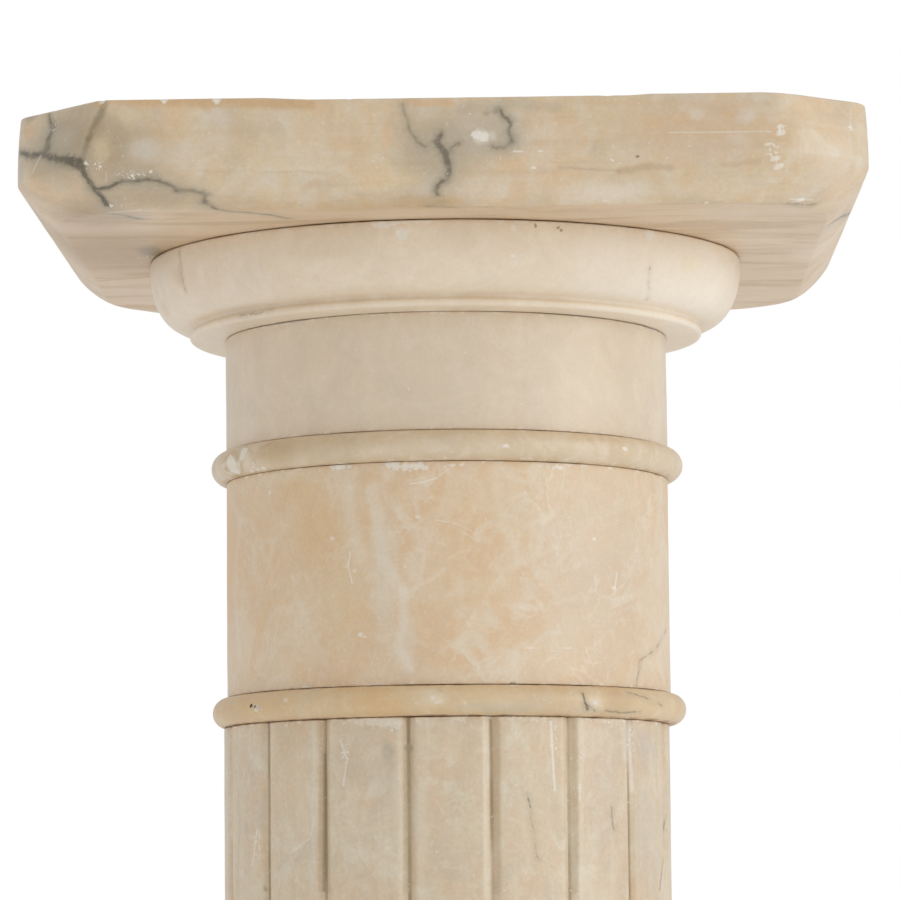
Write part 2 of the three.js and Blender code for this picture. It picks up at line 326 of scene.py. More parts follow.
# %% A finish, made of nodes
class Finish:
    def __init__(self, title):
        self.material = bpy.data.materials.new(title)
        self.material.use_nodes = True
        self.tree = self.material.node_tree
        self.tree.nodes.clear()
        self.shader = self.tree.nodes.new("ShaderNodeBsdfPrincipled")
        output = self.tree.nodes.new("ShaderNodeOutputMaterial")
        self.tree.links.new(self.shader.outputs["BSDF"], output.inputs["Surface"])
        self.place = self.vector("SCALE", self.node("ShaderNodeTexCoord", output="Object"), 1000.0)

    def node(self, kind, settings=None, inputs=None, output=0):
        made = self.tree.nodes.new(kind)
        for name, value in (settings or {}).items():
            setattr(made, name, value)
        for name, value in (inputs or {}).items():
            self.feed(made.inputs[name], value)
        return Wire(self, made.outputs[output])

    def feed(self, socket, value):
        if isinstance(value, Wire):
            self.tree.links.new(value.socket, socket)
        else:
            socket.default_value = value

    def vector(self, operation, first, second=None):
        """Vector Math on points and colours; SCALE takes a number as its second value."""
        inputs = {0: first}
        if operation == "SCALE":
            inputs["Scale"] = second
        elif second is not None:
            inputs[1] = second
        output = 1 if operation in ("LENGTH", "DOT_PRODUCT", "DISTANCE") else 0
        return self.node("ShaderNodeVectorMath", {"operation": operation}, inputs, output)

    def mix(self, share, first, second):
        first = first if isinstance(first, Wire) else (*first, 1.0)
        second = second if isinstance(second, Wire) else (*second, 1.0)
        inputs = {0: share, 6: first, 7: second}
        return self.node("ShaderNodeMix", {"data_type": "RGBA"}, inputs, 2)

    def cloud(self, size, detail=2.0, stretch=(1.0, 1.0, 1.0), shift=0.0, harsh=0.5, twist=0.0, place=None):
        """Noise between about 0.3 and 0.7, with lumps of a size in millimetres."""
        place = self.place if place is None else place
        place = self.vector("MULTIPLY", place, stretch)
        if shift:
            place = self.vector("ADD", place, (shift, shift * 0.7, shift * 1.3))
        inputs = {"Vector": place, "Scale": 1.0 / size, "Detail": detail, "Roughness": harsh}
        inputs["Distortion"] = twist
        return self.node("ShaderNodeTexNoise", None, inputs, "Fac")

    def layer(self, name):
        """A number that was stored on the points of the stone."""
        return self.node("ShaderNodeAttribute", {"attribute_name": name}, None, "Fac")

    def spot(self, middle, reach, soft=0.6, place=None):
        """1 at a point and 0 past its reach, which may differ along x, y and z."""
        place = self.wobbly if place is None else place
        squeeze = 1.0 / np.array(reach)
        shift = -np.array(middle) * squeeze
        inputs = {0: place, 1: squeeze.tolist(), 2: shift.tolist()}
        away = self.node("ShaderNodeVectorMath", {"operation": "MULTIPLY_ADD"}, inputs)
        return self.vector("LENGTH", away).fade(1.0, 1.0 - soft)

    def stretch_away(self, start, stop, place):
        """Distance in millimetres from the nearest point of a straight stretch."""
        run = stop - start
        slope = run / max(run @ run, 1e-6)
        along = self.vector("DOT_PRODUCT", place, slope.tolist())
        settings = {"operation": "SUBTRACT", "use_clamp": True}
        share = self.node("ShaderNodeMath", settings, {0: along, 1: float(start @ slope)})
        nearest = self.vector("ADD", self.vector("SCALE", run.tolist(), share), start.tolist())
        return self.vector("DISTANCE", place, nearest)

    def line(self, stone, pixels, width=1.0, place=None):
        """Distance from the side of a bent line through pixels of the photograph.

        It is less than 0 inside the line. A pixel may carry a width of its own as its third
        value, in millimetres.
        """
        place = self.wobbly if place is None else place
        spots = [stone.seen(pixel[0], pixel[1]) for pixel in pixels]
        widths = [pixel[2] if len(pixel) > 2 else width for pixel in pixels]
        even = len(set(widths)) == 1
        nearest = None
        for i in range(len(spots) - 1):
            away = self.stretch_away(spots[i], spots[i + 1], place)
            if not even:
                away = away - (widths[i] + widths[i + 1]) / 4
            nearest = away if nearest is None else nearest.least(away)
        return nearest - widths[0] / 2 if even else nearest

    def scratch(self, stone, pixels, width=0.5, soft=0.25):
        """1 on a straight scratch through pixels of the photograph."""
        return self.line(stone, pixels, width, self.place).fade(soft, -soft)

    def soft_patch(self, stone, x, y, reach, soft=0.8):
        """A soft patch at a pixel of the photograph."""
        return self.spot(stone.seen(x, y), reach, soft)


# %% [markdown]
# ## Alabaster
# Polished alabaster is never one colour. Broad clouds drift between cream and honey, a finer
# mottling of pale grains sits in them, and faint grey veins cross it. Dust and old wax have
# browned the edges beside the joints, and small bruises show white. All of it is noise in
# millimetres, so that each stone gets its own pattern from the place where it stands.

# %% The stone's own colours
CREAM = (0.79, 0.67, 0.51)
HONEY = (0.70, 0.47, 0.24)
PALE = (0.84, 0.74, 0.60)
ROSE = (0.76, 0.60, 0.46)
GREY = (0.58, 0.51, 0.41)
SMOKE = (0.33, 0.28, 0.20)
VEIN_BROWN = (0.13, 0.105, 0.065)
DIRT_BROWN = (0.46, 0.31, 0.16)
BRUISE_WHITE = (0.90, 0.85, 0.76)
FLAKE_ROUGHNESS = 0.6
STONE_IOR = 1.52


class Alabaster(Finish):
    """The common stone, with how much warm, pale and grey cloud this block of it has."""

    def __init__(self, title, base, warm, pale, shift, warmth=0.5, paleness=0.5, greyness=0.2):
        super().__init__(title)
        slow = self.wander(8.0, 2.6)
        quick = self.wander(2.2, 1.3)
        self.wobbly = self.vector("ADD", self.place, self.vector("ADD", slow, quick))
        broad = self.cloud(30.0, 2.0, shift=shift, twist=1.2)
        drift = self.cloud(19.0, 2.4, shift=shift + 311.0, twist=2.0)
        shade = self.cloud(26.0, 2.0, shift=shift + 173.0, twist=1.0)
        self.mottle = self.cloud(5.0, 4.0, shift=shift + 97.0, harsh=0.6)
        self.grain = self.cloud(1.3, 2.0, shift=shift + 53.0)
        colour = self.mix(broad.fade(0.44, 0.62) * warmth, base, warm)
        colour = self.mix(shade.fade(0.50, 0.66) * greyness, colour, GREY)
        colour = self.mix(drift.fade(0.50, 0.66) * paleness, colour, pale)
        self.colour = self.mix(self.mottle.fade(0.50, 0.66) * 0.18, colour, pale)
        self.rough = self.mottle * 0.16 + 0.30

    def wander(self, size, reach):
        """A small push to and fro, which keeps drawn marks from being too straight."""
        inputs = {"Vector": self.place, "Scale": 1.0 / size, "Detail": 2.0}
        noise = self.node("ShaderNodeTexNoise", None, inputs, "Color")
        middled = self.vector("SUBTRACT", noise, (0.5, 0.5, 0.5))
        return self.vector("SCALE", middled, reach)

    def paint(self, share, colour, rough=None):
        """Lays a colour over what is there, and may make it more matt or more glossy."""
        self.colour = self.mix(share, self.colour, colour)
        if rough is not None:
            self.rough = self.rough + share * (rough - 0.38)

    def patches(self, stone, marks):
        """Soft patches of colour, mostly stains and some painted light and shade: pixel, reach in
        millimetres, strength and colour of each.
        """
        for x, y, reach, strength, colour in marks:
            self.paint(self.soft_patch(stone, x, y, reach) * strength, colour)

    def scratches(self, stone, marks, colour=BRUISE_WHITE):
        """Straight scratches: the pixels they pass, the width in millimetres and the strength."""
        for pixels, width, strength in marks:
            self.paint(self.scratch(stone, pixels, width) * strength, colour, 0.5)

    def threads(self, stone, marks, colour=VEIN_BROWN):
        """Thin wandering cracks and veins, with a faint haze beside them."""
        for pixels, width, strength in marks:
            away = self.line(stone, pixels, width)
            self.paint(away.fade(2.4, 0.0) * (strength * 0.3), SMOKE)
            self.paint(away.fade(0.35, -0.25) * strength, colour)

    def grains(self, stone, marks):
        """Clusters of small white grains: pixel and reach in millimetres of each cluster."""
        grain = self.cloud(1.1, 2.0, shift=451.0).fade(0.57, 0.63)
        for x, y, reach in marks:
            self.paint(self.soft_patch(stone, x, y, reach) * grain * 0.75, BRUISE_WHITE)

    def specks(self, stone, spots, reach, strength=0.7, soft=0.5, colour=BRUISE_WHITE):
        """Small round marks of one size, at pixels of the photograph."""
        for x, y in spots:
            self.paint(self.soft_patch(stone, x, y, reach, soft) * strength, colour)

    def flakes(self, stone, marks, rim, edge, strength, colour=BRUISE_WHITE):
        """Ragged flakes along lines of pixels; rim is its noise's size, shift and reach."""
        size, shift, reach = rim
        ragged = (self.cloud(size, 3.0, shift=shift, harsh=0.7) - 0.5) * reach
        for pixels, width in marks:
            inside = (self.line(stone, pixels, width) + ragged).fade(*edge)
            self.paint(inside * strength, colour, FLAKE_ROUGHNESS)

    def veins(self, size, strength, colour, shift, thin=0.02):
        """Faint natural veins: the thin lines where a slow noise passes through its middle."""
        field = self.cloud(size, 3.0, shift=shift, harsh=0.55, twist=0.6)
        line = (field - 0.5).size().fade(thin, thin * 0.1)
        patchy = self.cloud(size * 0.8, 1.0, shift=shift + 19.0).fade(0.42, 0.60)
        self.paint(line * patchy * strength, colour)

    def joint_dirt(self, reach, strength, colour=DIRT_BROWN):
        """A thin brown line of dust and old wax in the joint, broken here and there."""
        edge = self.layer("joint")
        patchy = self.cloud(7.0, 4.0, shift=71.0, harsh=0.65).fade(0.38, 0.62)
        self.paint(edge.fade(reach * 4, 0.0) * 0.12, HONEY)
        self.paint(edge.fade(reach, reach * 0.2) * patchy * strength, colour, 0.6)

    def chipped_edge(self, reach, share, strength=0.8, size=6.0, shift=0.0):
        """White flakes lost along the edges beside the joints, ragged on their inner side."""
        uneven = self.layer("joint") + (self.cloud(size * 0.5, 4.0, shift=shift) - 0.5) * reach * 3
        where = self.cloud(size, 2.0, (1.0, 1.0, 0.4), shift + 37.0).fade(0.64 - share, 0.70 - share)
        flakes = uneven.fade(reach, reach * 0.6) * where
        self.paint(flakes * strength, BRUISE_WHITE, 0.6)

    def close(self, scratch=0.5, scratchy=0.10):
        """Last of all: white bruises, fine grain, small scratches and the bump."""
        fresh = self.layer("fresh")
        self.paint(fresh.fade(0.1, 0.7) * 0.7, BRUISE_WHITE, 0.62)
        specks = self.cloud(1.4, 1.0, shift=401.0).fade(0.72, 0.77)
        self.paint(specks * 0.4, BRUISE_WHITE)
        worn = self.cloud(2.0, 4.0, shift=431.0, harsh=0.7).fade(0.55, 0.75)
        self.paint(worn * 0.15, PALE)
        tone = self.grain * scratchy + self.mottle * 0.08 + (0.96 - scratchy / 2)
        self.colour = self.vector("SCALE", self.colour, tone)
        scrape = self.cloud(2.4, 3.0, (1.0, 1.0, 1.0), 207.0, 0.7)
        height = self.grain * 0.3 + scrape * scratch + self.mottle * 0.4
        bump = self.node(
            "ShaderNodeBump", None,
            {"Height": height, "Strength": 0.3, "Distance": 0.0005}, "Normal",
        )
        self.feed(self.shader.inputs["Base Color"], self.colour)
        self.feed(self.shader.inputs["Roughness"], self.rough)
        self.feed(self.shader.inputs["Normal"], bump)
        self.shader.inputs["IOR"].default_value = STONE_IOR
        print(self.material.name, "has", len(self.tree.nodes), "nodes")
        return self.material


# %% [markdown]
# ## The neck drum
# A short plain drum between the echinus and the upper ring. It is the palest stone, with hardly
# any pattern but upright clouds. Its arrises are hardly eased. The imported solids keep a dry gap
# at each joint, and here the stones nearly close it, as the fine joints of the real ones do.

# %% A plain drum's skin
DRUM_EDGE = 0.16
JOINT_CLOSE = 0.13


def drum_profile(radius, height, step=1.1):
    foot = DRUM_EDGE - JOINT_CLOSE
    head = height + JOINT_CLOSE - DRUM_EDGE
    low = arc(radius - DRUM_EDGE, foot, DRUM_EDGE, DRUM_EDGE, -90, 0, 4)
    high = arc(radius - DRUM_EDGE, head, DRUM_EDGE, DRUM_EDGE, 0, 90, 4)
    return np.vstack([low, straight(low[-1], high[0], step), high])


def joint_distance(stone, foot_z, height):
    up = stone.points[:, 2] - foot_z
    return np.minimum(up, height - up)


def drum_stone(node, radius, seed):
    foot_z, height = span(node)
    stone = Stone(node, lathe(drum_profile(radius, height), foot_z))
    stone.joint = joint_distance(stone, foot_z, height)
    stone.ripple(seed)
    return stone


# %% Make the neck drum
NECK_RADIUS = 83.45
neck = drum_stone("neck_drum", NECK_RADIUS, 11)
neck.bites(neck.joint, 1.2, 0.15, 3.0, 0.12, 12)

finish = Alabaster("neck_alabaster", CREAM, ROSE, PALE, 20.0, 0.3, 0.35, 0.15)
upright = finish.cloud(16.0, 2.0, (1.0, 1.0, 0.16), 40.0)
finish.paint(upright.fade(0.45, 0.62) * 0.3, (0.72, 0.61, 0.48))
finish.chipped_edge(0.9, 0.10, 0.5, 4.0)
finish.joint_dirt(0.4, 0.4)
neck.make("neck_stone", finish.close())

# %% [markdown]
# ## The rings
# Three half-round rings mark the joints between the drums. They are honey coloured, and their
# crowns are rubbed pale. The upper one has been mended at its left end, with a whitish filling.

# %% The ring's skin
RING_PROJECTION = 5.6
RING_POINTS = 500


def ring_stone(node, core_radius, seed):
    foot_z, height = span(node)
    half = height / 2
    profile = arc(core_radius, half, RING_PROJECTION, half + JOINT_CLOSE, -90, 90, 25)
    ring = Stone(node, lathe(profile, foot_z, RING_POINTS))
    ring.joint = joint_distance(ring, foot_z, height)
    ring.ripple(seed)
    return ring


# %% Make the upper ring
upper_ring = ring_stone("upper_ring", NECK_RADIUS, 21)
upper_ring_chips = (231, 467, 4.4, 0.5), (243, 452, 2.6, 0.6)
for chip in upper_ring_chips:
    upper_ring.chip(*chip)

finish = Alabaster("upper_ring_alabaster", (0.73, 0.59, 0.41), (0.68, 0.51, 0.32), PALE, 60.0, 0.4, 0.3)
upper_ring_stains = (
    (275, 452, (17, 20, 6), 0.7, (0.58, 0.41, 0.22)),
    (320, 448, (24, 20, 6), 0.55, (0.62, 0.47, 0.27)),
    (400, 450, (26, 20, 4), 0.35, (0.80, 0.68, 0.50)),
)
finish.patches(upper_ring, upper_ring_stains)
upper_ring_grains = (250, 465, (6, 9, 3)), (232, 468, (5, 9, 4))
finish.grains(upper_ring, upper_ring_grains)
FILLING = (232, 466)
filling = finish.soft_patch(upper_ring, *FILLING, (7.5, 14.0, 7.0), 0.4)
finish.paint(filling * 0.75, (0.61, 0.47, 0.29), 0.6)
rim_pixels = [(222, 466), (229, 461), (238, 464), (238, 472), (228, 474), (222, 466)]
filling_rim = finish.line(upper_ring, rim_pixels, 1.4)
finish.paint(filling_rim.fade(0.9, -0.3) * 0.6, (0.84, 0.77, 0.64), 0.6)
slant_pixels = [(245, 447), (240, 459), (238, 463)]
slanting = finish.line(upper_ring, slant_pixels, 1.6)
finish.paint(slanting.fade(0.9, -0.4) * 0.6, (0.74, 0.70, 0.58))
upper_ring_cracks = (
    ([(245, 446), (251, 450), (254, 462)], 0.7, 0.4),
    ([(262, 447), (275, 441)], 0.6, 0.5),
)
finish.threads(upper_ring, upper_ring_cracks, DIRT_BROWN)
pale_spots = (258, 470), (252, 471), (264, 468), (505, 446), (625, 448)
finish.specks(upper_ring, pale_spots, (1.6, 2.4, 1.0), 0.8)
finish.chipped_edge(0.8, 0.06, 0.6, 4.0)
finish.joint_dirt(0.4, 0.35)
upper_ring.make("ring_stone", finish.close())

# %% Make the lower ring
DRUM_RADIUS = 83.4
lower_ring = ring_stone("lower_ring", DRUM_RADIUS, 31)
PIT_CHIP = (256, 709)
lower_ring.chip(*PIT_CHIP, 1.3, 0.9)

finish = Alabaster("lower_ring_alabaster", (0.73, 0.55, 0.33), HONEY, (0.80, 0.69, 0.52), 140.0, 0.5, 0.35)
lower_ring_stains = (
    (240, 705, (24, 40, 9), 0.5, (0.70, 0.46, 0.22)),
    (285, 705, (14, 30, 9), 0.4, (0.70, 0.46, 0.21)),
    (380, 703, (14, 30, 7), 0.6, (0.74, 0.49, 0.23)),
    (435, 697, (9, 20, 5), 0.6, (0.80, 0.68, 0.49)),
    (596, 703, (4, 9, 4), 0.7, (0.84, 0.76, 0.62)),
    (620, 700, (9, 20, 6), 0.6, (0.60, 0.43, 0.25)),
    (500, 708, (28, 20, 3), 0.4, GREY),
    (560, 702, (30, 40, 8), 0.35, (0.62, 0.48, 0.32)),
)
finish.patches(lower_ring, lower_ring_stains)
lower_ring_cracks = (
    ([(583, 694), (586, 703), (589, 710)], 0.8, 0.8),
    ([(586, 703), (596, 711)], 0.6, 0.6),
    ([(627, 692), (645, 697), (662, 706)], 0.5, 0.6),
    ([(605, 711), (622, 713), (640, 712)], 0.8, 0.5),
    ([(440, 690), (452, 700)], 0.5, 0.2),
)
finish.threads(lower_ring, lower_ring_cracks)
pale_spots = (286, 700), (433, 697), (438, 701), (596, 702)
finish.specks(lower_ring, pale_spots, (1.6, 2.4, 1.2), 0.5, 0.8)
black_pits = (
    (256, 708, (1.1, 2, 1.1), (0.03, 0.025, 0.02)),
    (251, 706, (0.8, 2, 0.6), (0.05, 0.04, 0.03)),
)
for x, y, reach, colour in black_pits:
    finish.paint(finish.soft_patch(lower_ring, x, y, reach, 0.3), colour, 0.7)
finish.chipped_edge(0.8, 0.02, 0.5, 4.0)
finish.joint_dirt(0.45, 0.75, (0.34, 0.19, 0.10))
lower_ring.make("ring_stone", finish.close())

# %% Make the foot ring
SHAFT_RADIUS = 83.7
foot_ring = ring_stone("foot_ring", SHAFT_RADIUS, 41)
finish = Alabaster("foot_ring_alabaster", (0.74, 0.57, 0.36), HONEY, PALE, 220.0, 0.5, 0.35)
finish.chipped_edge(0.8, 0.04, 0.5, 4.0)
finish.joint_dirt(0.4, 0.7)
foot_ring.make("ring_stone", finish.close())

# %% [markdown]
# ## The plain drum
# The most lively of the drums: a pale cloud stands near its middle with warm orange clouds on
# both sides. Chips have taken the polish off its top edge, and a few long scratches cross it.

# %% Make the plain drum
drum = drum_stone("plain_drum", DRUM_RADIUS, 51)
drum.bites(drum.joint, 1.4, 0.25, 4.0, 0.14, 52)
drum_chips = (290, 466, 1.6), (340, 467, 1.6), (395, 466, 1.8), (405, 466, 1.8), (418, 467, 1.6)
for x, y, size in drum_chips:
    drum.chip(x, y, size, 0.25)

# %% Clouds, cracks and scratches of the plain drum
warm_base, warm_cloud, pale_cloud = (0.79, 0.62, 0.425), (0.77, 0.53, 0.31), (0.82, 0.71, 0.56)
finish = Alabaster("plain_drum_alabaster", warm_base, warm_cloud, pale_cloud, 300.0, 0.6, 0.5, 0.12)
drum_stains = (
    (250, 560, (26, 60, 60), 0.35, (0.77, 0.55, 0.33)),
    (600, 570, (40, 60, 60), 0.6, (0.71, 0.59, 0.455)),
    (330, 560, (22, 60, 40), 0.3, (0.76, 0.55, 0.32)),
)
finish.patches(drum, drum_stains)
CALCITE = (0.86, 0.77, 0.63)
finish.veins(24.0, 0.35, CALCITE, 330.0, 0.03)
finish.veins(12.0, 0.25, CALCITE, 350.0, 0.025)
pale_flames = (
    ([(372, 490), (378, 535), (384, 565), (402, 590)], 2.4, 0.5, 2.6),
    ([(402, 590), (404, 620), (398, 645), (410, 668), (430, 690)], 2, 0.5, 1.6),
    ([(404, 600), (420, 584), (444, 570)], 0.9, 0.4, 1.4),
    ([(380, 640), (402, 630), (425, 645)], 0.6, 0.25, 1.6),
    ([(345, 480), (352, 520), (360, 560)], 2.4, 0.3, 3),
    ([(232, 475), (240, 520), (234, 580), (240, 660)], 1.8, 0.3, 2.4),
    ([(495, 470), (500, 510), (512, 545)], 1.2, 0.25, 2.4),
    ([(455, 650), (476, 612), (505, 570), (560, 545)], 0.8, 0.25, 1.8),
    ([(480, 600), (530, 610), (575, 598)], 0.6, 0.2, 1.4),
    ([(560, 560), (590, 520), (640, 500)], 0.7, 0.2, 1.6),
    ([(270, 660), (300, 620), (320, 600)], 0.8, 0.25, 1.6),
)
for pixels, width, strength, soft in pale_flames:
    finish.paint(finish.line(drum, pixels, width).fade(soft, -0.5) * strength, CALCITE)
drum_flakes = (
    ([(284, 466), (300, 468)], 1.4),
    ([(330, 467), (350, 466)], 1),
    ([(386, 465), (405, 466), (426, 467)], 1.4),
    ([(396, 470), (412, 470)], 0.8),
    ([(446, 465), (462, 465)], 0.7),
    ([(540, 466), (566, 467)], 0.6),
)
finish.flakes(drum, drum_flakes, (1.6, 17.0, 4.0), (0.4, -0.2), 0.75)
drum_more_stains = (
    (318, 530, (15, 40, 26), 0.6, (0.76, 0.51, 0.26)),
    (296, 490, (8, 40, 8), 0.5, (0.76, 0.53, 0.27)),
    (228, 560, (9, 34, 44), 0.7, (0.78, 0.51, 0.26)),
    (384, 575, (7, 40, 36), 0.65, (0.78, 0.69, 0.55)),
    (405, 640, (6, 30, 18), 0.5, (0.80, 0.70, 0.57)),
    (345, 500, (3.5, 30, 16), 0.3, (0.80, 0.69, 0.54)),
    (345, 610, (14, 30, 22), 0.45, (0.77, 0.57, 0.33)),
    (465, 495, (20, 40, 14), 0.35, (0.78, 0.55, 0.32)),
    (600, 540, (12, 40, 12), 0.3, (0.79, 0.59, 0.40)),
    (480, 590, (9, 30, 12), 0.3, (0.77, 0.56, 0.34)),
    (240, 640, (6, 30, 20), 0.35, (0.82, 0.72, 0.56)),
    (300, 475, (26, 30, 4), 0.3, (0.80, 0.68, 0.50)),
)
finish.patches(drum, drum_more_stains)
drum_scratches = (
    ([(410, 484), (424, 482), (436, 478)], 0.5, 0.75),
    ([(436, 478), (450, 468)], 0.4, 0.5),
    ([(350, 552), (348, 566), (352, 583)], 0.6, 0.75),
    ([(349, 560), (345, 568)], 0.4, 0.5),
    ([(420, 497), (431, 503)], 0.4, 0.4),
    ([(424, 503), (432, 496)], 0.4, 0.4),
    ([(436, 520), (449, 522)], 0.4, 0.45),
    ([(452, 522), (472, 531)], 0.35, 0.45),
    ([(460, 530), (477, 541)], 0.35, 0.35),
    ([(525, 648), (572, 648)], 0.45, 0.6),
    ([(550, 651), (560, 651)], 0.4, 0.4),
    ([(617, 573), (615, 590)], 0.6, 0.75),
    ([(358, 635), (366, 637)], 0.6, 0.6),
    ([(563, 481), (561, 492)], 0.5, 0.35),
)
finish.scratches(drum, drum_scratches)
pale_spots = (269, 492), (418, 517), (355, 571), (614, 588), (594, 540), (332, 538), (361, 634)
finish.specks(drum, pale_spots, (1.2, 3.0, 1.0), 0.65, 0.8)
drum_cracks = (
    ([(666, 630), (655, 650), (640, 660), (640, 667), (636, 686)], 0.5, 0.55),
    ([(640, 667), (641, 690)], 0.5, 0.3),
)
finish.threads(drum, drum_cracks, (0.28, 0.18, 0.10))
finish.chipped_edge(1.0, 0.08, 0.6, 5.0)
finish.joint_dirt(0.35, 0.35)
drum.make("drum_stone", finish.close(scratchy=0.16))

# %% [markdown]
# ## The echinus
# The round cushion that carries the slab. It is turned in one with a thin bead under it, and a
# faint notch parts the two. The swell is fuller than a quarter circle, so its arc is shaped.

# %% Make the echinus
echinus_z, echinus_height = span("echinus")
WIDEST_RADIUS = 112.0
WIDEST_HEIGHT = 25.3
SWELL_RADIUS = 96.1
SWELL_FOOT = 4.5
BEAD_FLAT = 95.6
BEAD_RADIUS = 97.0
BEAD_HEIGHT = 3.1
TOP_RADIUS = 110.4
ECHINUS_POINTS = 620
swell_out = WIDEST_RADIUS - SWELL_RADIUS
swell_up = WIDEST_HEIGHT - SWELL_FOOT
half_bead = BEAD_HEIGHT / 2
echinus_top = echinus_height + JOINT_CLOSE
echinus_profile = np.vstack([
    straight((80.9, -JOINT_CLOSE), (84.1, -JOINT_CLOSE), 1.6),
    straight((83.9, 0), (BEAD_FLAT, 0), 1.6),
    arc(BEAD_FLAT, half_bead, BEAD_RADIUS - BEAD_FLAT, half_bead, -90, 90, 9),
    [[SWELL_RADIUS - 0.8, BEAD_HEIGHT + 0.5]],
    arc(SWELL_RADIUS, WIDEST_HEIGHT, swell_out, swell_up, -90, 0, 30, 0.76, 1.1),
    arc(TOP_RADIUS, WIDEST_HEIGHT, 1.6, echinus_top - WIDEST_HEIGHT, 0, 90, 7, 0.4, 0.6)[1:],
])
echinus = Stone("echinus", lathe(echinus_profile, echinus_z, ECHINUS_POINTS))
echinus.joint = echinus_z + echinus_height - echinus.points[:, 2]
under_bead = np.linalg.norm(echinus.points[:, :2], axis=1) - NECK_RADIUS
under_bead = under_bead + (echinus.points[:, 2] - echinus_z)
echinus.joint = np.minimum(echinus.joint, np.maximum(under_bead, 0))
echinus.ripple(61)
echinus.bites(echinus_z + echinus_height - echinus.points[:, 2], 2.0, 0.3, 4.0, 0.14, 62)
echinus_chips = (385, 224, 2.6), (402, 234, 2.0), (650, 236, 2.4), (736, 260, 1.8)
for x, y, size in echinus_chips:
    echinus.chip(x, y, size, 0.3)

# Painted light: the swell's colours are paler than the stone's own, partly standing in for the light it gets
# from below.
swell_base, swell_warm, swell_pale = (0.87, 0.74, 0.57), (0.82, 0.67, 0.50), (0.91, 0.82, 0.68)
finish = Alabaster("echinus_alabaster", swell_base, swell_warm, swell_pale, 380.0, 0.35, 0.35, 0.1)
# The pale patches on the lower right of the swell are a painted highlight; the others are the stone's own
# stains.
echinus_stains_and_highlights = (
    (690, 290, (44, 60, 30), 0.8, (0.97, 0.88, 0.74)),
    (240, 290, (24, 60, 30), 0.3, (0.82, 0.73, 0.60)),
    (610, 280, (24, 60, 30), 0.5, (0.93, 0.85, 0.72)),
    (690, 262, (7, 12, 5), 0.45, (0.93, 0.80, 0.54)),
    (320, 250, (30, 20, 5), 0.3, (0.78, 0.66, 0.50)),
    (180, 275, (4, 9, 6), 0.5, (0.70, 0.54, 0.36)),
    (165, 310, (4, 9, 5), 0.5, (0.76, 0.56, 0.36)),
    (600, 225, (40, 20, 3), 0.3, (0.87, 0.72, 0.52)),
)
finish.patches(echinus, echinus_stains_and_highlights)
echinus_cracks = (
    ([(179, 250), (181, 268), (185, 290)], 0.6, 0.4),
    ([(650, 268), (649, 285), (647, 300)], 0.5, 0.35),
    ([(240, 316), (272, 310)], 0.5, 0.5),
)
finish.threads(echinus, echinus_cracks, (0.30, 0.22, 0.13))
brown_spots = (535, 226), (559, 228), (562, 231)
finish.specks(echinus, brown_spots, (0.8, 1.6, 0.8), colour=(0.30, 0.20, 0.10))
echinus_spots = (
    (398, 232), (404, 236), (408, 232), (380, 225), (352, 224), (348, 220), (514, 228), (514, 256),
)
finish.specks(echinus, echinus_spots, (1.6, 3.0, 1.3), 0.7, 0.6)
whitened = [(372, 223), (400, 221), (428, 220)]
finish.flakes(echinus, ((whitened, 2.0),), (1.6, 17.0, 5.0), (0.6, -0.4), 0.75, (0.96, 0.92, 0.84))
echinus_grains = (
    (402, 234, (4, 9, 3)), (516, 258, (3, 9, 2.6)), (655, 236, (9, 9, 3)),
    (700, 250, (9, 9, 3)), (225, 262, (5, 9, 5)), (350, 221, (3, 9, 1.6)),
)
finish.grains(echinus, echinus_grains)
olive_pixels = [(395, 219), (412, 219)]
finish.paint(finish.line(echinus, olive_pixels, 1.0).fade(0.4, -0.2) * 0.8, (0.42, 0.36, 0.12))
finish.chipped_edge(1.4, 0.12, 0.6, 6.0)
finish.joint_dirt(0.4, 0.35)
echinus.make("echinus_stone", finish.close())

# %% [markdown]
# ## The fluted shaft
# Seventeen wide panels with a narrow groove between each two. Only the top hand's breadth shows
# in the photograph, so the rows stand close there and wider apart further down. Around the
# shaft, most points go into the grooves, because a groove's soft shoulders catch the light.

# %% Make the shaft
PANEL_COUNT = 17
GROOVE_WIDTH = 7.4
GROOVE_DEPTH = 1.9
SHAFT_TURN = math.radians(1.05)
SHAFT_SHIFT = -1.0
shaft_z, shaft_height = span("fluted_shaft")
panel_pitch = 2 * math.pi * SHAFT_RADIUS / PANEL_COUNT
across = np.concatenate([
    np.linspace(-GROOVE_WIDTH / 2 - 0.6, GROOVE_WIDTH / 2 + 0.6, 21),
    np.linspace(GROOVE_WIDTH / 2 + 1.6, panel_pitch - GROOVE_WIDTH / 2 - 1.6, 12),
])


def groove_depth(offset):
    """Depth of the groove at a distance from its middle: straight walls and soft shoulders."""
    wall = 1 - np.abs(offset) / (GROOVE_WIDTH / 2)
    softened = np.where(wall > 0.3, wall - 0.15, np.clip(wall, 0, 1) ** 2 / 0.6)
    return GROOVE_DEPTH * np.clip(softened / 0.85, 0, 1)


# the grooves were cut by hand, and stand up to a millimetre and a half out of their even places
GROOVE_DRIFT = np.array([
    0.8, 0.6, 0.9, 0.5, 0.3, -0.4, 0.5, 0.1, -0.6, 0.2, 0.6, -0.3, 0.4, 0.2, 0.9, -0.7, 1.4,
])
over_panel = np.clip((across - GROOVE_WIDTH / 2 - 0.6) / (panel_pitch - GROOVE_WIDTH - 1.2), 0, 1)
drift = GROOVE_DRIFT[:, None] * (1 - over_panel) + np.roll(GROOVE_DRIFT, -1)[:, None] * over_panel
panel_turns = np.arange(PANEL_COUNT)[:, None] * panel_pitch + panel_pitch / 2 + drift
shaft_arc = (panel_turns + across[None]).reshape(-1)
shaft_depth = np.tile(groove_depth(np.where(across > panel_pitch / 2, 99.0, across)), PANEL_COUNT)
shaft_angle = shaft_arc / SHAFT_RADIUS - math.pi / 2 + SHAFT_TURN
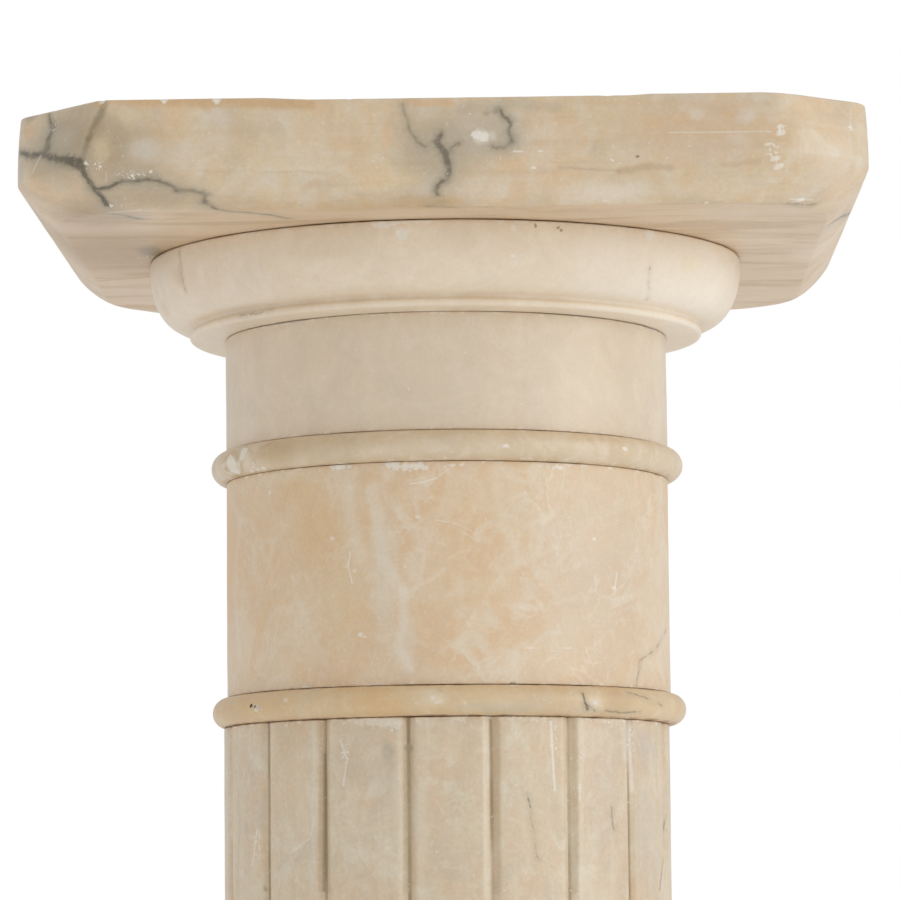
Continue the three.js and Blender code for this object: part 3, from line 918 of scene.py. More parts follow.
heights = np.concatenate([
    [-JOINT_CLOSE, 0.1, 0.4],
    np.arange(8.0, shaft_height - 78.0, 8.2),
    np.arange(shaft_height - 77.0, shaft_height - 1.0, 1.5),
    [shaft_height - 0.4, shaft_height - 0.1, shaft_height + JOINT_CLOSE],
])
ends = np.clip(np.minimum(heights, shaft_height - heights) + JOINT_CLOSE, 0, DRUM_EDGE) / DRUM_EDGE
ease = DRUM_EDGE * (1 - np.sqrt(np.clip(1 - (1 - ends) ** 2, 0, 1)))
reach = (SHAFT_RADIUS - shaft_depth)[None] - ease[:, None]
shaft_rows = np.stack([
    reach * np.cos(shaft_angle) + SHAFT_SHIFT,
    reach * np.sin(shaft_angle),
    np.repeat((heights + shaft_z)[:, None], len(shaft_angle), axis=1),
], axis=-1)
shaft = Stone("fluted_shaft", shaft_rows)
shaft.joint = joint_distance(shaft, shaft_z, shaft_height)
shaft.groove = np.tile(shaft_depth, len(heights))
shaft.ripple(71)
shoulder = np.abs(shaft.groove - 0.12) * 4
shaft.bites(np.where(shaft.groove > 0, shoulder, 9.0), 1.0, 0.25, 5.0, 0.12, 72)
shaft.bites(shaft.joint, 1.6, 0.3, 5.0, 0.2, 73)
print("shaft points around:", len(shaft_angle), "rows:", len(heights))

# %% Finish the shaft
shaft_base, shaft_warm, shaft_pale = (0.72, 0.59, 0.42), (0.73, 0.53, 0.35), (0.78, 0.70, 0.55)
finish = Alabaster("shaft_alabaster", shaft_base, shaft_warm, shaft_pale, 460.0, 0.5, 0.5, 0.3)
upright = finish.cloud(9.0, 3.0, (1.0, 1.0, 0.16), 70.0, 0.6, 0.8)
finish.paint(upright.fade(0.50, 0.64) * 0.35, shaft_pale)
finish.paint(upright.fade(0.48, 0.34) * 0.35, (0.62, 0.51, 0.36))
finish.veins(14.0, 0.3, (0.80, 0.72, 0.58), 480.0, 0.03)
finish.veins(11.0, 0.25, (0.60, 0.48, 0.32), 500.0, 0.03)
groove = finish.layer("groove")
# Painted shade in the grooves: browner than the panels, darkest along their floors, broken into patches.
groove_shade_patches = finish.cloud(14.0, 2.0, (1.0, 1.0, 0.3), 33.0)
finish.paint(groove.fade(0.05, 1.2) * groove_shade_patches.fade(0.40, 0.60) * 0.4, (0.56, 0.38, 0.20))
finish.paint(groove.fade(1.35, 1.75) * (groove_shade_patches.fade(0.36, 0.58) * 0.55 + 0.25), (0.30, 0.22, 0.12), 0.6)
# Mostly painted light and shade beside the grooves: pale bands where walls and shoulders face the light,
# brown bands on the walls in shade, dark lines along the groove floors.
OLIVE = (0.20, 0.17, 0.09)
SHADED_WALL_BROWN = (0.55, 0.40, 0.24)
groove_light_and_shade_lines = (
    ([(326, 716), (325, 755), (324, 890)], 0.8, 0.6, OLIVE),
    ([(322, 725), (320, 890)], 1.2, 0.4, (0.60, 0.38, 0.20)),
    ([(331, 716), (330, 890)], 1.6, 0.3, SHADED_WALL_BROWN),
    ([(314, 720), (313, 880)], 1.4, 0.4, shaft_pale),
    ([(268, 716), (266, 890)], 0.7, 0.5, OLIVE),
    ([(410.5, 715), (410, 748)], 2, 0.75, (0.30, 0.27, 0.19)),
    ([(409, 748), (408, 890)], 3, 0.45, (0.52, 0.42, 0.26)),
    ([(400, 718), (399, 890)], 1.6, 0.35, shaft_pale),
    ([(486, 718), (486, 890)], 2, 0.45, shaft_pale),
    ([(496, 718), (496, 890)], 2.6, 0.4, SHADED_WALL_BROWN),
    ([(569, 716), (569, 890)], 0.5, 0.5, OLIVE),
    ([(574, 718), (574, 890)], 2.4, 0.4, (0.52, 0.44, 0.28)),
    ([(582, 718), (582, 890)], 1.5, 0.4, shaft_pale),
    ([(661, 716), (660, 890)], 0.8, 0.6, (0.24, 0.23, 0.20)),
    ([(652, 718), (652, 890)], 3, 0.35, (0.60, 0.56, 0.50)),
)
for pixels, width, strength, colour in groove_light_and_shade_lines:
    groove_band = finish.line(shaft, pixels, width, finish.place)
    finish.paint(groove_band.fade(0.9, -0.4) * strength, colour)
shaft_flakes = (
    ([(232, 722), (262, 721)], 2.2),
    ([(272, 720), (318, 718)], 2),
    ([(345, 719), (360, 721)], 2.4),
    ([(370, 718), (398, 722)], 4),
    ([(420, 718), (430, 718)], 1.6),
    ([(455, 717), (462, 719)], 2.6),
    ([(500, 717), (545, 718)], 1),
    ([(592, 719), (622, 721)], 1.6),
)
finish.flakes(shaft, shaft_flakes, (2.0, 29.0, 6.0), (0.8, -0.4), 0.6, (0.84, 0.78, 0.66))
shaft_stains = (
    (388, 752, (3.4, 20, 6), 0.6, (0.50, 0.44, 0.34)),
    (384, 770, (6, 20, 9), 0.4, (0.60, 0.52, 0.40)),
    (345, 765, (8, 20, 12), 0.35, (0.64, 0.53, 0.38)),
    (450, 745, (9, 20, 9), 0.4, (0.76, 0.59, 0.40)),
    (300, 740, (5, 20, 10), 0.3, (0.66, 0.50, 0.34)),
    (520, 760, (7, 20, 9), 0.3, (0.76, 0.62, 0.46)),
    (605, 790, (10, 30, 40), 0.45, (0.64, 0.52, 0.40)),
    (290, 760, (7, 30, 30), 0.35, (0.66, 0.49, 0.31)),
    (645, 830, (6, 40, 30), 0.4, (0.62, 0.56, 0.48)),
    (645, 745, (5, 40, 9), 0.4, (0.60, 0.55, 0.48)),
    (470, 840, (14, 30, 14), 0.25, (0.74, 0.63, 0.46)),
    (627, 742, (4, 12, 14), 0.4, (0.84, 0.76, 0.64)),
    (300, 790, (7, 20, 22), 0.3, (0.80, 0.64, 0.46)),
)
finish.patches(shaft, shaft_stains)
shaft_scratches = (
    ([(551, 722), (555, 790)], 1, 0.6),
    ([(628, 720), (632, 790)], 1.6, 0.45),
    ([(340, 740), (347, 760), (343, 785)], 0.7, 0.5),
    ([(257, 830), (252, 865)], 0.8, 0.5),
    ([(316, 810), (310, 838)], 0.5, 0.35),
    ([(310, 838), (292, 852), (270, 870)], 0.5, 0.35),
    ([(580, 785), (580, 800)], 0.8, 0.5),
    ([(436, 800), (450, 826)], 0.4, 0.3),
)
finish.scratches(shaft, shaft_scratches)
shaft_cracks = (
    ([(527, 795), (531, 806)], 0.6, 0.6),
    ([(531, 812), (539, 858)], 0.5, 0.5),
    ([(611, 808), (614, 828)], 0.6, 0.5),
)
finish.threads(shaft, shaft_cracks)
shaft_grains = (
    (345, 750, (3, 9, 8)), (628, 740, (4, 9, 9)), (256, 845, (3, 9, 10)),
    (390, 727, (5, 9, 3)), (292, 722, (7, 9, 2.4)), (247, 725, (5, 9, 3)),
    (555, 740, (2.4, 9, 9)), (610, 724, (6, 9, 2.4)), (577, 790, (2, 9, 4)),
)
finish.grains(shaft, shaft_grains)
finish.chipped_edge(1.0, 0.06, 0.6, 5.0, 12.0)
finish.joint_dirt(0.45, 0.75, (0.34, 0.19, 0.10))
shaft.make("shaft_stone", finish.close(scratchy=0.20))

# %% [markdown]
# ## The abacus
# The square slab at the top, with canted corners. Its face stands nearly upright, and its lower
# edge is rounded under. It is cut from a block with dark dendritic veins. The slab is lofted
# from level outlines, and the front edge gets the most points, since it faces the viewer.

# %% The slab's outline at one level
def canted_square(half, cant, radius, edge_counts, arc_count=12, moves=None):
    """Outline of a square with cut corners; moves are (x, y, rounding) for each corner."""
    quarter = [np.array([half, -(half - cant)]), np.array([half, half - cant])]
    corners = []
    for step in range(4):
        c, s = round(math.cos(step * math.pi / 2)), round(math.sin(step * math.pi / 2))
        for x, y in quarter:
            corners.append(np.array([x * c - y * s, x * s + y * c]))
    moves = np.array([(0.0, 0.0, 1.0)] * 8) if moves is None else moves
    corners = np.array(corners) + moves[:, :2]
    arcs = []
    for i, corner in enumerate(corners):
        before = corners[i - 1] - corner
        after = corners[(i + 1) % 8] - corner
        before = before / np.linalg.norm(before)
        after = after / np.linalg.norm(after)
        bend = math.acos(-before @ after)
        rounding = radius * moves[i, 2]
        inward = (before + after) / np.linalg.norm(before + after)
        centre = corner + inward * rounding / math.cos(bend / 2)
        spoke = corner + before * rounding * math.tan(bend / 2) - centre
        angles = np.linspace(0, bend, arc_count)
        arcs.append(np.stack([
            centre[0] + spoke[0] * np.cos(angles) - spoke[1] * np.sin(angles),
            centre[1] + spoke[0] * np.sin(angles) + spoke[1] * np.cos(angles),
        ], axis=1))
    outline = []
    for i, here in enumerate(arcs):
        following = arcs[(i + 1) % 8][0]
        share = np.linspace(0, 1, edge_counts[i] + 2)[1:-1, None]
        outline.append(here)
        outline.append(here[-1] + (following - here[-1]) * share)
    return np.vstack(outline)


# %% Loft the abacus
ABACUS_HALF = 151.8
ABACUS_SHIFT = 1.5
UPRIGHT = 21.8
TOP_INSET = 1.4
UNDERCUT = 14.6
UNDERCUT_SHAPE = 1.6
LOW_CANT, TOP_CANT = 22.5, 30.0
LOW_CORNER, TOP_CORNER = 35.8, 9.0
TOP_ARRIS = 0.9
# long edges face +x, +y, -x and -y, with the cut corners between them
SLAB_EDGES = (120, 30, 120, 22, 120, 56, 300, 44)
abacus_z, abacus_height = span("abacus")
under_height = abacus_height - UPRIGHT


# how far each corner of the plan is out of square, and how much rounder or sharper it is
CORNER_MOVES = np.array([
    (0, -4, 1.5), (0, 0, 1), (0, 0, 1), (3, 0, 1),
    (0, -6, 1), (0, 4, 1), (1.5, 0, 0.8), (1, 0, 1.8),
])
LOW_MOVES = np.zeros((8, 2))
LOW_MOVES[3] = (4.0, 0.0)
LOW_MOVES[4] = (0.0, -9.0)


def slab_level(height, inset, shrink=1.0):
    cant = LOW_CANT + (TOP_CANT - LOW_CANT) * height / abacus_height
    rise = min(max(0.0, height - under_height) / UPRIGHT, 1.0)
    corner = LOW_CORNER + (TOP_CORNER - LOW_CORNER) * rise
    rounder = 1 + (CORNER_MOVES[:, 2] - 1) * rise
    moved = CORNER_MOVES[:, :2] * (0.4 + 0.6 * rise) + LOW_MOVES * (1 - rise)
    moves = np.column_stack([moved, rounder])
    plan = canted_square(ABACUS_HALF - inset, cant, corner, SLAB_EDGES, 12, moves) * shrink
    # the front of the top arris is rubbed down, most of all in its middle
    rubbed = np.interp(plan[:, 0], (-62, -46, 66, 74, 112, 122, 150), (0, 0.8, 0.8, 0.3, 0.3, 0.7, 0.1))
    rubbed = rubbed * np.clip((-plan[:, 1] - 100) / 40, 0, 1) * rise ** 3
    # at the left end the upright face reaches lower down
    nearness = 1 - rise if height > under_height else height / under_height
    lower = 2.6 * np.clip((-plan[:, 0] - 105) / 40, 0, 1) * max(nearness, 0.0)
    plan[:, 0] += ABACUS_SHIFT
    return np.column_stack([plan, height + abacus_z - rubbed - lower])


# the middle of the underside comes down a little, onto the echinus
SEAT_SHRINK = 0.72
levels = []
for shrink in np.linspace(0.62, 0.985, 16):
    levels.append(slab_level(-JOINT_CLOSE if shrink < SEAT_SHRINK else 0.0, UNDERCUT, shrink))
for angle in np.radians(np.linspace(90, 0, 25)[:-1]):
    drop = max(math.sin(angle), 0.0) ** UNDERCUT_SHAPE
    out = max(math.cos(angle), 0.0) ** UNDERCUT_SHAPE
    levels.append(slab_level(under_height * (1 - drop), UNDERCUT * (1 - out)))
for share in np.linspace(0, 1 - TOP_ARRIS / UPRIGHT, 24):
    levels.append(slab_level(under_height + UPRIGHT * share, TOP_INSET * share * share))
arris_inset = TOP_INSET * (1 - TOP_ARRIS / UPRIGHT) ** 2
for angle in np.radians((22.5, 45.0, 67.5, 90.0)):
    height = abacus_height - TOP_ARRIS * (1 - math.sin(angle))
    levels.append(slab_level(height, arris_inset + TOP_ARRIS * (1 - math.cos(angle))))
for inset in (3.5, 5.5, 9.0, 14.0, 22.0, 34.0, 50.0, 70.0):
    levels.append(slab_level(abacus_height, arris_inset + inset, 1.0))
abacus = Stone("abacus", np.stack(levels))
print("abacus rows", len(levels), "points around", len(levels[0]))

# %% [markdown]
# ## Wear and veins on the abacus
# Its top arris is rubbed and dips a little left of the middle, and the cut corners have lost
# small flakes. The strongest vein enters at the left end, swells to a dark speckled blot and
# climbs down to the lower edge, where it runs on to the right as a brown line.

# %% Wear the abacus
from_top = abacus_z + abacus_height - abacus.points[:, 2]
flat = np.linalg.norm(abacus.points[:, :2] - (ABACUS_SHIFT, 0), axis=1)
abacus.joint = np.maximum(flat - TOP_RADIUS, 0) + (abacus.points[:, 2] - abacus_z)
abacus.ripple(81)
abacus.bites(from_top + 20 * (from_top < 0.01), 2.0, 0.5, 6.0, 0.16, 82)
abacus_chips = (
    (779, 127, 1.3, 0.4), (782, 133, 1.1, 0.4), (771, 143, 0.9, 0.3), (775, 158, 1.2, 0.3),
    (802, 200, 1.4, 0.4), (477, 134, 1.8, 0.2), (484, 138, 2, 0.2), (102, 100, 1.4, 0.5),
    (164, 100, 1.4, 0.4), (217, 100, 1.4, 0.4), (852, 128, 1, 0.3), (779, 167, 1, 0.3),
)
for chip in abacus_chips:
    abacus.chip(*chip)

# %% Finish the abacus
ORANGE = (0.76, 0.52, 0.30)
LIGHT_GREY = (0.76, 0.69, 0.58)
YELLOWISH = (0.75, 0.61, 0.37)
abacus_base = (0.735, 0.575, 0.375)
finish = Alabaster("abacus_alabaster", abacus_base, ORANGE, (0.78, 0.68, 0.53), 540.0, 0.5, 0.42, 0.45)
cloudy = finish.cloud(17.0, 2.0, shift=570.0, twist=1.2)
finish.paint(cloudy.fade(0.48, 0.74) * 0.42, LIGHT_GREY)
finish.paint(cloudy.fade(0.50, 0.28) * 0.45, (0.68, 0.51, 0.33))
lengthwise = finish.cloud(3.4, 3.0, (0.06, 0.06, 1.0), 580.0, 0.6)
finish.paint(lengthwise.fade(0.54, 0.70) * 0.25, (0.80, 0.70, 0.56))
finish.paint(lengthwise.fade(0.46, 0.32) * 0.25, (0.60, 0.45, 0.29))

# %% Streaks under the slab
geometry = finish.node("ShaderNodeNewGeometry", None, None, "Normal")
facing_x = finish.node("ShaderNodeSeparateXYZ", None, {0: geometry}, 0)
facing_z = finish.node("ShaderNodeSeparateXYZ", None, {0: geometry}, 2)
streak = finish.cloud(15.0, 4.0, (0.22, 1.0, 2.0), 15.0, 0.6, 0.6)
sideways = facing_x.size().fade(0.25, 0.55)
underneath = facing_z.fade(-0.90, -0.98).most(facing_z.fade(-0.25, -0.70) * sideways * 0.7)
finish.paint(underneath * 0.6, (0.75, 0.56, 0.38))
finish.paint(underneath * streak.fade(0.48, 0.66) * 0.6, (0.57, 0.41, 0.25), 0.5)
finish.paint(underneath * streak.fade(0.48, 0.34) * 0.4, (0.80, 0.66, 0.48))

# %% [markdown]
# ## Drawing the veins
# A vein is not a line of one colour. Its core is a dark olive brown, and a grey haze lies round
# it. The line is drawn through points seen in the photograph, bent a little by noise, and its
# width changes from point to point. Bands of stain are the same lines, wide and soft.

# %% Paint the clouds, the painted light and shade, and the bands of the abacus
# Most of these are the slab's own clouds and stains. The pale patches low on the right, in the undercut and
# under the slab, are painted light from below on that side, and the brown patches under the left end make it
# darker there.
abacus_stains_and_painted_light = (
    (64, 142, (30, 28, 20), 0.85, (0.44, 0.35, 0.23)),
    (122, 160, (26, 12, 24), 0.8, (0.50, 0.38, 0.24)),
    (436, 155, (22, 8, 24), 0.8, (0.50, 0.40, 0.27)),
    (116, 252, (44, 80, 30), 0.9, (0.50, 0.33, 0.17)),
    (695, 132, (44, 9, 15), 0.75, (0.71, 0.51, 0.32)),
    (95, 216, (24, 40, 9), 0.7, (0.44, 0.32, 0.20)),
    (300, 150, (20, 8, 14), 0.3, (0.78, 0.67, 0.50)),
    (250, 190, (30, 8, 5), 0.3, (0.76, 0.63, 0.44)),
    (380, 178, (14, 8, 7), 0.5, (0.78, 0.58, 0.34)),
    (600, 190, (34, 8, 7), 0.4, (0.82, 0.71, 0.56)),
    (720, 190, (26, 8, 7), 0.4, (0.83, 0.68, 0.49)),
    (745, 240, (24, 30, 20), 0.4, (0.82, 0.68, 0.51)),
    (820, 250, (14, 40, 30), 0.5, (0.84, 0.72, 0.56)),
    (146, 150, (11, 8, 7), 0.5, (0.76, 0.71, 0.62)),
    (178, 156, (7, 8, 8), 0.35, (0.77, 0.72, 0.63)),
    (46, 150, (4.6, 5, 4), 0.7, (0.26, 0.22, 0.15)),
    (68, 160, (6, 6, 3.2), 0.6, (0.28, 0.24, 0.16)),
    (30, 118, (6, 6, 3), 0.5, (0.38, 0.30, 0.20)),
    (50, 125, (3, 5, 5), 0.4, (0.36, 0.30, 0.20)),
    (92, 190, (5, 5, 5), 0.4, (0.36, 0.30, 0.21)),
    (150, 186, (10, 6, 3), 0.35, (0.45, 0.38, 0.27)),
    (100, 122, (3.4, 5, 5), 0.5, (0.44, 0.34, 0.21)),
    (190, 192, (7, 5, 2.4), 0.4, (0.45, 0.38, 0.27)),
    (101, 150, (5, 8, 7), 0.65, YELLOWISH),
    (126, 118, (7, 8, 5), 0.45, YELLOWISH),
    (65, 137, (8, 10, 6), 0.5, (0.58, 0.50, 0.38)),
    (28, 131, (5, 6, 5), 0.6, (0.74, 0.47, 0.26)),
    (20, 172, (5, 6, 6), 0.4, (0.52, 0.42, 0.30)),
    (82, 112, (7, 8, 5), 0.5, (0.55, 0.42, 0.27)),
    (60, 185, (9, 10, 6), 0.35, (0.62, 0.52, 0.38)),
    (152, 176, (4.5, 5, 2.6), 0.65, (0.40, 0.33, 0.23)),
    (205, 194, (4, 5, 1.8), 0.6, (0.36, 0.30, 0.20)),
    (220, 140, (14, 8, 7), 0.35, (0.76, 0.60, 0.42)),
    (258, 118, (12, 8, 5), 0.35, (0.78, 0.66, 0.50)),
    (310, 140, (12, 8, 9), 0.35, (0.76, 0.56, 0.37)),
    (385, 140, (2.6, 6, 9), 0.5, (0.76, 0.50, 0.28)),
    (484, 134, (18, 8, 15), 0.7, (0.54, 0.46, 0.35)),
    (466, 120, (6, 8, 5), 0.4, (0.64, 0.54, 0.42)),
    (497, 109.5, (2.6, 4, 2.4), 0.8, (0.28, 0.23, 0.15)),
    (487, 113, (2.2, 4, 1.4), 0.6, (0.38, 0.31, 0.21)),
    (481, 136, (4.4, 4, 4), 0.7, (0.86, 0.79, 0.67)),
    (492.5, 135, (2.4, 4, 3.2), 0.6, (0.82, 0.74, 0.61)),
    (442, 202.5, (3.4, 4, 1.4), 0.6, (0.50, 0.33, 0.18)),
    (560, 135, (14, 8, 9), 0.3, (0.78, 0.62, 0.45)),
    (696, 114, (5, 6, 3), 0.5, (0.80, 0.71, 0.60)),
    (746, 118, (5, 6, 3.4), 0.5, (0.80, 0.71, 0.60)),
    (738, 139, (6, 6, 3.4), 0.4, (0.80, 0.71, 0.60)),
    (682, 119, (4, 6, 3.4), 0.55, ORANGE),
    (653, 122, (5, 6, 3.4), 0.5, ORANGE),
    (730, 114, (3.6, 6, 3), 0.55, ORANGE),
    (705, 150, (22, 9, 8), 0.35, (0.74, 0.60, 0.47)),
    (860, 163, (4, 6, 4), 0.5, (0.80, 0.74, 0.64)),
    (151, 252, (7, 22, 9), 0.95, (0.30, 0.23, 0.14)),
    (150, 196, (28, 10, 8), 0.6, (0.48, 0.37, 0.24)),
    (425, 204, (20, 12, 5), 0.6, (0.58, 0.39, 0.19)),
    (245, 206, (24, 16, 5), 0.45, (0.60, 0.42, 0.22)),
    (350, 206, (24, 14, 5), 0.55, (0.60, 0.41, 0.21)),
    (243, 130, (9, 8, 12), 0.4, (0.62, 0.46, 0.27)),
    (600, 195, (20, 8, 7), 0.5, (0.85, 0.76, 0.64)),
    (484, 190, (16, 8, 8), 0.4, (0.84, 0.74, 0.60)),
    (840, 160, (14, 14, 14), 0.35, (0.82, 0.72, 0.60)),
)
finish.patches(abacus, abacus_stains_and_painted_light)
bands = (
    ([(104, 103), (101, 114.4), (95.3, 123), (89.6, 137.3)], 1, 0.7, (0.30, 0.22, 0.12), 2),
    ([(89.6, 137.3), (83.9, 151.7), (81, 160.3)], 0.8, 0.6, (0.26, 0.20, 0.12), 1.6),
    ([(113, 120), (120, 136), (121.2, 151.7), (119, 170)], 1.6, 0.5, (0.48, 0.39, 0.26), 3),
    ([(96, 101), (200, 101), (310, 103)], 2, 0.75, (0.66, 0.43, 0.22), 2.4),
    ([(200, 171), (330, 172)], 0.4, 0.4, (0.60, 0.44, 0.28), 0.9),
    ([(460, 108), (520, 104), (560, 108)], 1.6, 0.4, (0.50, 0.40, 0.27), 2.4),
    ([(406, 101), (450, 103)], 1.6, 0.6, (0.74, 0.47, 0.24), 1.4),
    ([(560, 102), (770, 104)], 1.2, 0.35, (0.70, 0.50, 0.30), 1.6),
    ([(560, 168.5), (590, 169), (621, 170)], 0.3, 0.5, (0.50, 0.39, 0.27), 1),
    ([(621, 170), (645, 167), (670, 168)], 1.4, 0.55, (0.56, 0.40, 0.24), 1.6),
    ([(90, 226), (118, 222), (150, 219)], 0.8, 0.5, (0.56, 0.34, 0.17), 1.6),
    ([(80, 212), (112, 214), (150, 216)], 0.5, 0.45, (0.40, 0.30, 0.19), 1.4),
    ([(100, 281), (125, 279), (150, 277)], 1.4, 0.6, (0.52, 0.36, 0.20), 2),
    ([(722, 164), (758, 162)], 1.2, 0.4, (0.58, 0.42, 0.26), 1.2),
    ([(30, 205), (90, 203)], 1.6, 0.35, (0.58, 0.46, 0.32), 1.8),
    ([(140, 203), (780, 204)], 0.5, 0.4, (0.60, 0.43, 0.27), 0.6),
)
for pixels, width, strength, colour, soft in bands:
    finish.paint(finish.line(abacus, pixels, width).fade(soft, -0.3) * strength, colour)

# %% Draw the veins and cracks of the abacus
VEIN_CORE = (0.15, 0.125, 0.085)
HALO = (0.30, 0.25, 0.17)
HAZE = (0.50, 0.44, 0.34)
uneven = (finish.cloud(1.7, 3.0, shift=33.0, harsh=0.65) - 0.5) * 1.0
patchy = finish.cloud(2.6, 3.0, shift=39.0, harsh=0.65).fade(0.30, 0.55) * 0.45 + 0.55
veins = (
    (0.97, (
        ([(19.3, 153, 1.2), (26, 154.4, 1.3), (33.7, 155.3, 1.7), (43.7, 153, 2.4)], 1),
        ([(43.7, 153, 2.6), (47.3, 147.4, 3.4), (48.2, 140.2, 1.6)], 2.4),
        ([(46, 154, 1.8), (58, 159.6, 1.9), (68.1, 160.3, 2.2), (78.1, 163.2, 3.8), (81, 167, 3.2)], 1.8),
        ([(81, 167, 2.6), (83.9, 174.6, 2), (91, 184.7, 1.9), (98.2, 193.3, 1.9), (106.8, 204.8, 2.2)], 1.8),
        ([(97, 189), (108.3, 186.4), (115.4, 184), (124, 181.1), (137, 180.1)], 1.1),
        ([(439.7, 135.4), (436.3, 141.7, 1.7), (442.6, 149.7, 1.3), (446.6, 155.4, 2.6)], 1.4),
        ([(446.6, 155.4, 2), (448.3, 164.6, 1.3), (448.3, 172.7), (446, 178.4), (442, 181.8)], 1.1),
    )),
    (0.78, (
        ([(48, 140, 1.4), (52.6, 130.2, 1), (50.2, 120.8, 0.9), (48.7, 114.4, 0.7)], 0.9),
        ([(137, 180.1), (148.4, 180.4), (158.5, 182.5), (170, 185.4), (175.7, 189)], 1),
        ([(204.4, 203.3), (215.9, 208.4), (233, 212), (250, 213), (270, 215), (288, 219)], 0.7),
        ([(442, 181.8), (438, 185.3), (436.3, 191), (438, 195.6)], 1),
        ([(501, 112), (504, 117.6), (510.9, 123.3), (509.7, 131.3), (512, 140.5)], 0.8),
        ([(850.6, 212.6), (841, 217), (832.8, 222.4)], 0.8),
        ([(112.6, 214), (125, 215.6), (138.4, 219)], 0.6),
    )),
    (0.48, (
        ([(175.7, 189), (186, 190), (195.8, 190.4), (205.8, 194.7), (204.4, 203.3)], 0.9),
        ([(428, 207), (456, 208)], 0.6),
        ([(451, 148.6), (459, 144)], 0.6),
        ([(401.8, 105), (407.6, 118.7), (408.7, 127.9), (413.3, 134.8), (417.9, 141.7), (426, 146)], 0.6),
        ([(512, 140.5), (507, 145), (500.5, 146.3), (492.5, 146.3)], 0.7),
        ([(786, 204), (815, 204.5)], 0.6),
    )),
)
for strength, group in veins:
    away = finish.line(abacus, *group[0])
    for pixels, width in group[1:]:
        away = away.least(finish.line(abacus, pixels, width))
    away = away + uneven
    finish.paint(away.fade(8.0, 0.3) * (strength * 0.42), HAZE)
    finish.paint(away.fade(2.6, -0.2) * (strength * 0.55), HALO)
    finish.paint(away.fade(0.8, -0.5) * patchy * strength, VEIN_CORE)
brown_pit = (637, 157.6, (1.1, 2, 1), 0.9, (0.25, 0.17, 0.09))
finish.patches(abacus, (brown_pit,))

# %% White scratches and specks of the abacus
abacus_scratches = (
    ([(40.8, 154.6), (32.2, 172.5)], 0.5, 0.6),
    ([(668.7, 132.5), (771.5, 131.5)], 0.4, 0.55),
    ([(514, 151.4), (522, 151.4)], 0.6, 0.7),
    ([(538.5, 151), (542, 151)], 0.6, 0.7),
    ([(106, 172), (106, 182)], 0.4, 0.4),
    ([(110, 213), (141, 210)], 1, 0.4),
    ([(779.5, 126), (779.5, 133)], 0.9, 0.7),
    ([(790, 199), (812, 200)], 0.8, 0.5),
)
finish.scratches(abacus, abacus_scratches)
abacus_spots = (
    (100.4, 166), (86, 163), (132.6, 174.6), (150.6, 171.8), (532.7, 168.6), (164, 102), (217, 102),
    (802, 200), (851.6, 128.5), (605.5, 201), (706, 202.7), (112, 206), (613, 161),
)
finish.specks(abacus, abacus_spots, (0.9, 1.8, 0.6))
abacus_grains = (
    (97, 166, (4, 9, 3)), (135, 175, (8, 9, 2.4)), (88, 165, (3, 9, 3)),
    (54, 128, (3, 6, 3)), (482, 135, (5, 9, 4)), (781, 130, (3, 6, 3)),
    (772, 150, (4, 6, 5)), (781, 165, (4, 6, 3)), (120, 207, (6, 6, 1.6)),
    (150, 258, (6, 9, 5)), (800, 203, (6, 6, 2)),
)
finish.grains(abacus, abacus_grains)
finish.joint_dirt(0.4, 0.35, (0.50, 0.38, 0.22))
abacus.make("abacus_stone", finish.close(0.8, scratchy=0.16))

# %% [markdown]
# ## The base
# What the photograph cuts off is finished in keeping with what shows, and plainer: a torus on a
# square block with canted corners. The block echoes the slab at the top.

# %% Make the base moulding
base_z, base_height = span("base_moulding")
TORUS_HEIGHT = 27.0
TORUS_CENTRE = 110.0
FILLET_RADIUS = 91.0
FILLET_EDGE = 0.7
BASE_POINTS = 560
fillet_foot = TORUS_HEIGHT + FILLET_EDGE
fillet_head = base_height - FILLET_EDGE
base_profile = np.vstack([
    arc(TORUS_CENTRE, TORUS_HEIGHT / 2, 6.0, TORUS_HEIGHT / 2, -90, 90, 30),
    straight((TORUS_CENTRE, TORUS_HEIGHT), (FILLET_RADIUS + FILLET_EDGE, TORUS_HEIGHT), 1.6),
    arc(FILLET_RADIUS + FILLET_EDGE, fillet_foot, FILLET_EDGE, FILLET_EDGE, 270, 180, 4),
    straight((FILLET_RADIUS, fillet_foot), (FILLET_RADIUS, fillet_head), 1.2),
    arc(FILLET_RADIUS - FILLET_EDGE, fillet_head, FILLET_EDGE, FILLET_EDGE, 0, 90, 4),
])
base = Stone("base_moulding", lathe(base_profile, base_z, BASE_POINTS))
base.joint = joint_distance(base, base_z, base_height)
base.ripple(91)
base.bites(base.joint, 2.0, 0.5, 6.0, 0.2, 92)
finish = Alabaster("base_alabaster", (0.79, 0.66, 0.50), ROSE, PALE, 620.0, 0.4, 0.4)
finish.chipped_edge(1.0, 0.06, 0.5, 5.0)
finish.joint_dirt(0.4, 0.7)
base.make("base_stone", finish.close())

# %% Make the plinth
PLINTH_HALF = 155.0
PLINTH_CANT = 33.0
PLINTH_BEVEL = 2.5
PLINTH_EDGES = (150, 30, 150, 30, 150, 30, 150, 30)
plinth_z, plinth_height = span("plinth")


def plinth_level(height, inset):
    plan = canted_square(PLINTH_HALF - inset, PLINTH_CANT, 1.2, PLINTH_EDGES, 5)
    return np.column_stack([plan, np.full(len(plan), height + plinth_z)])


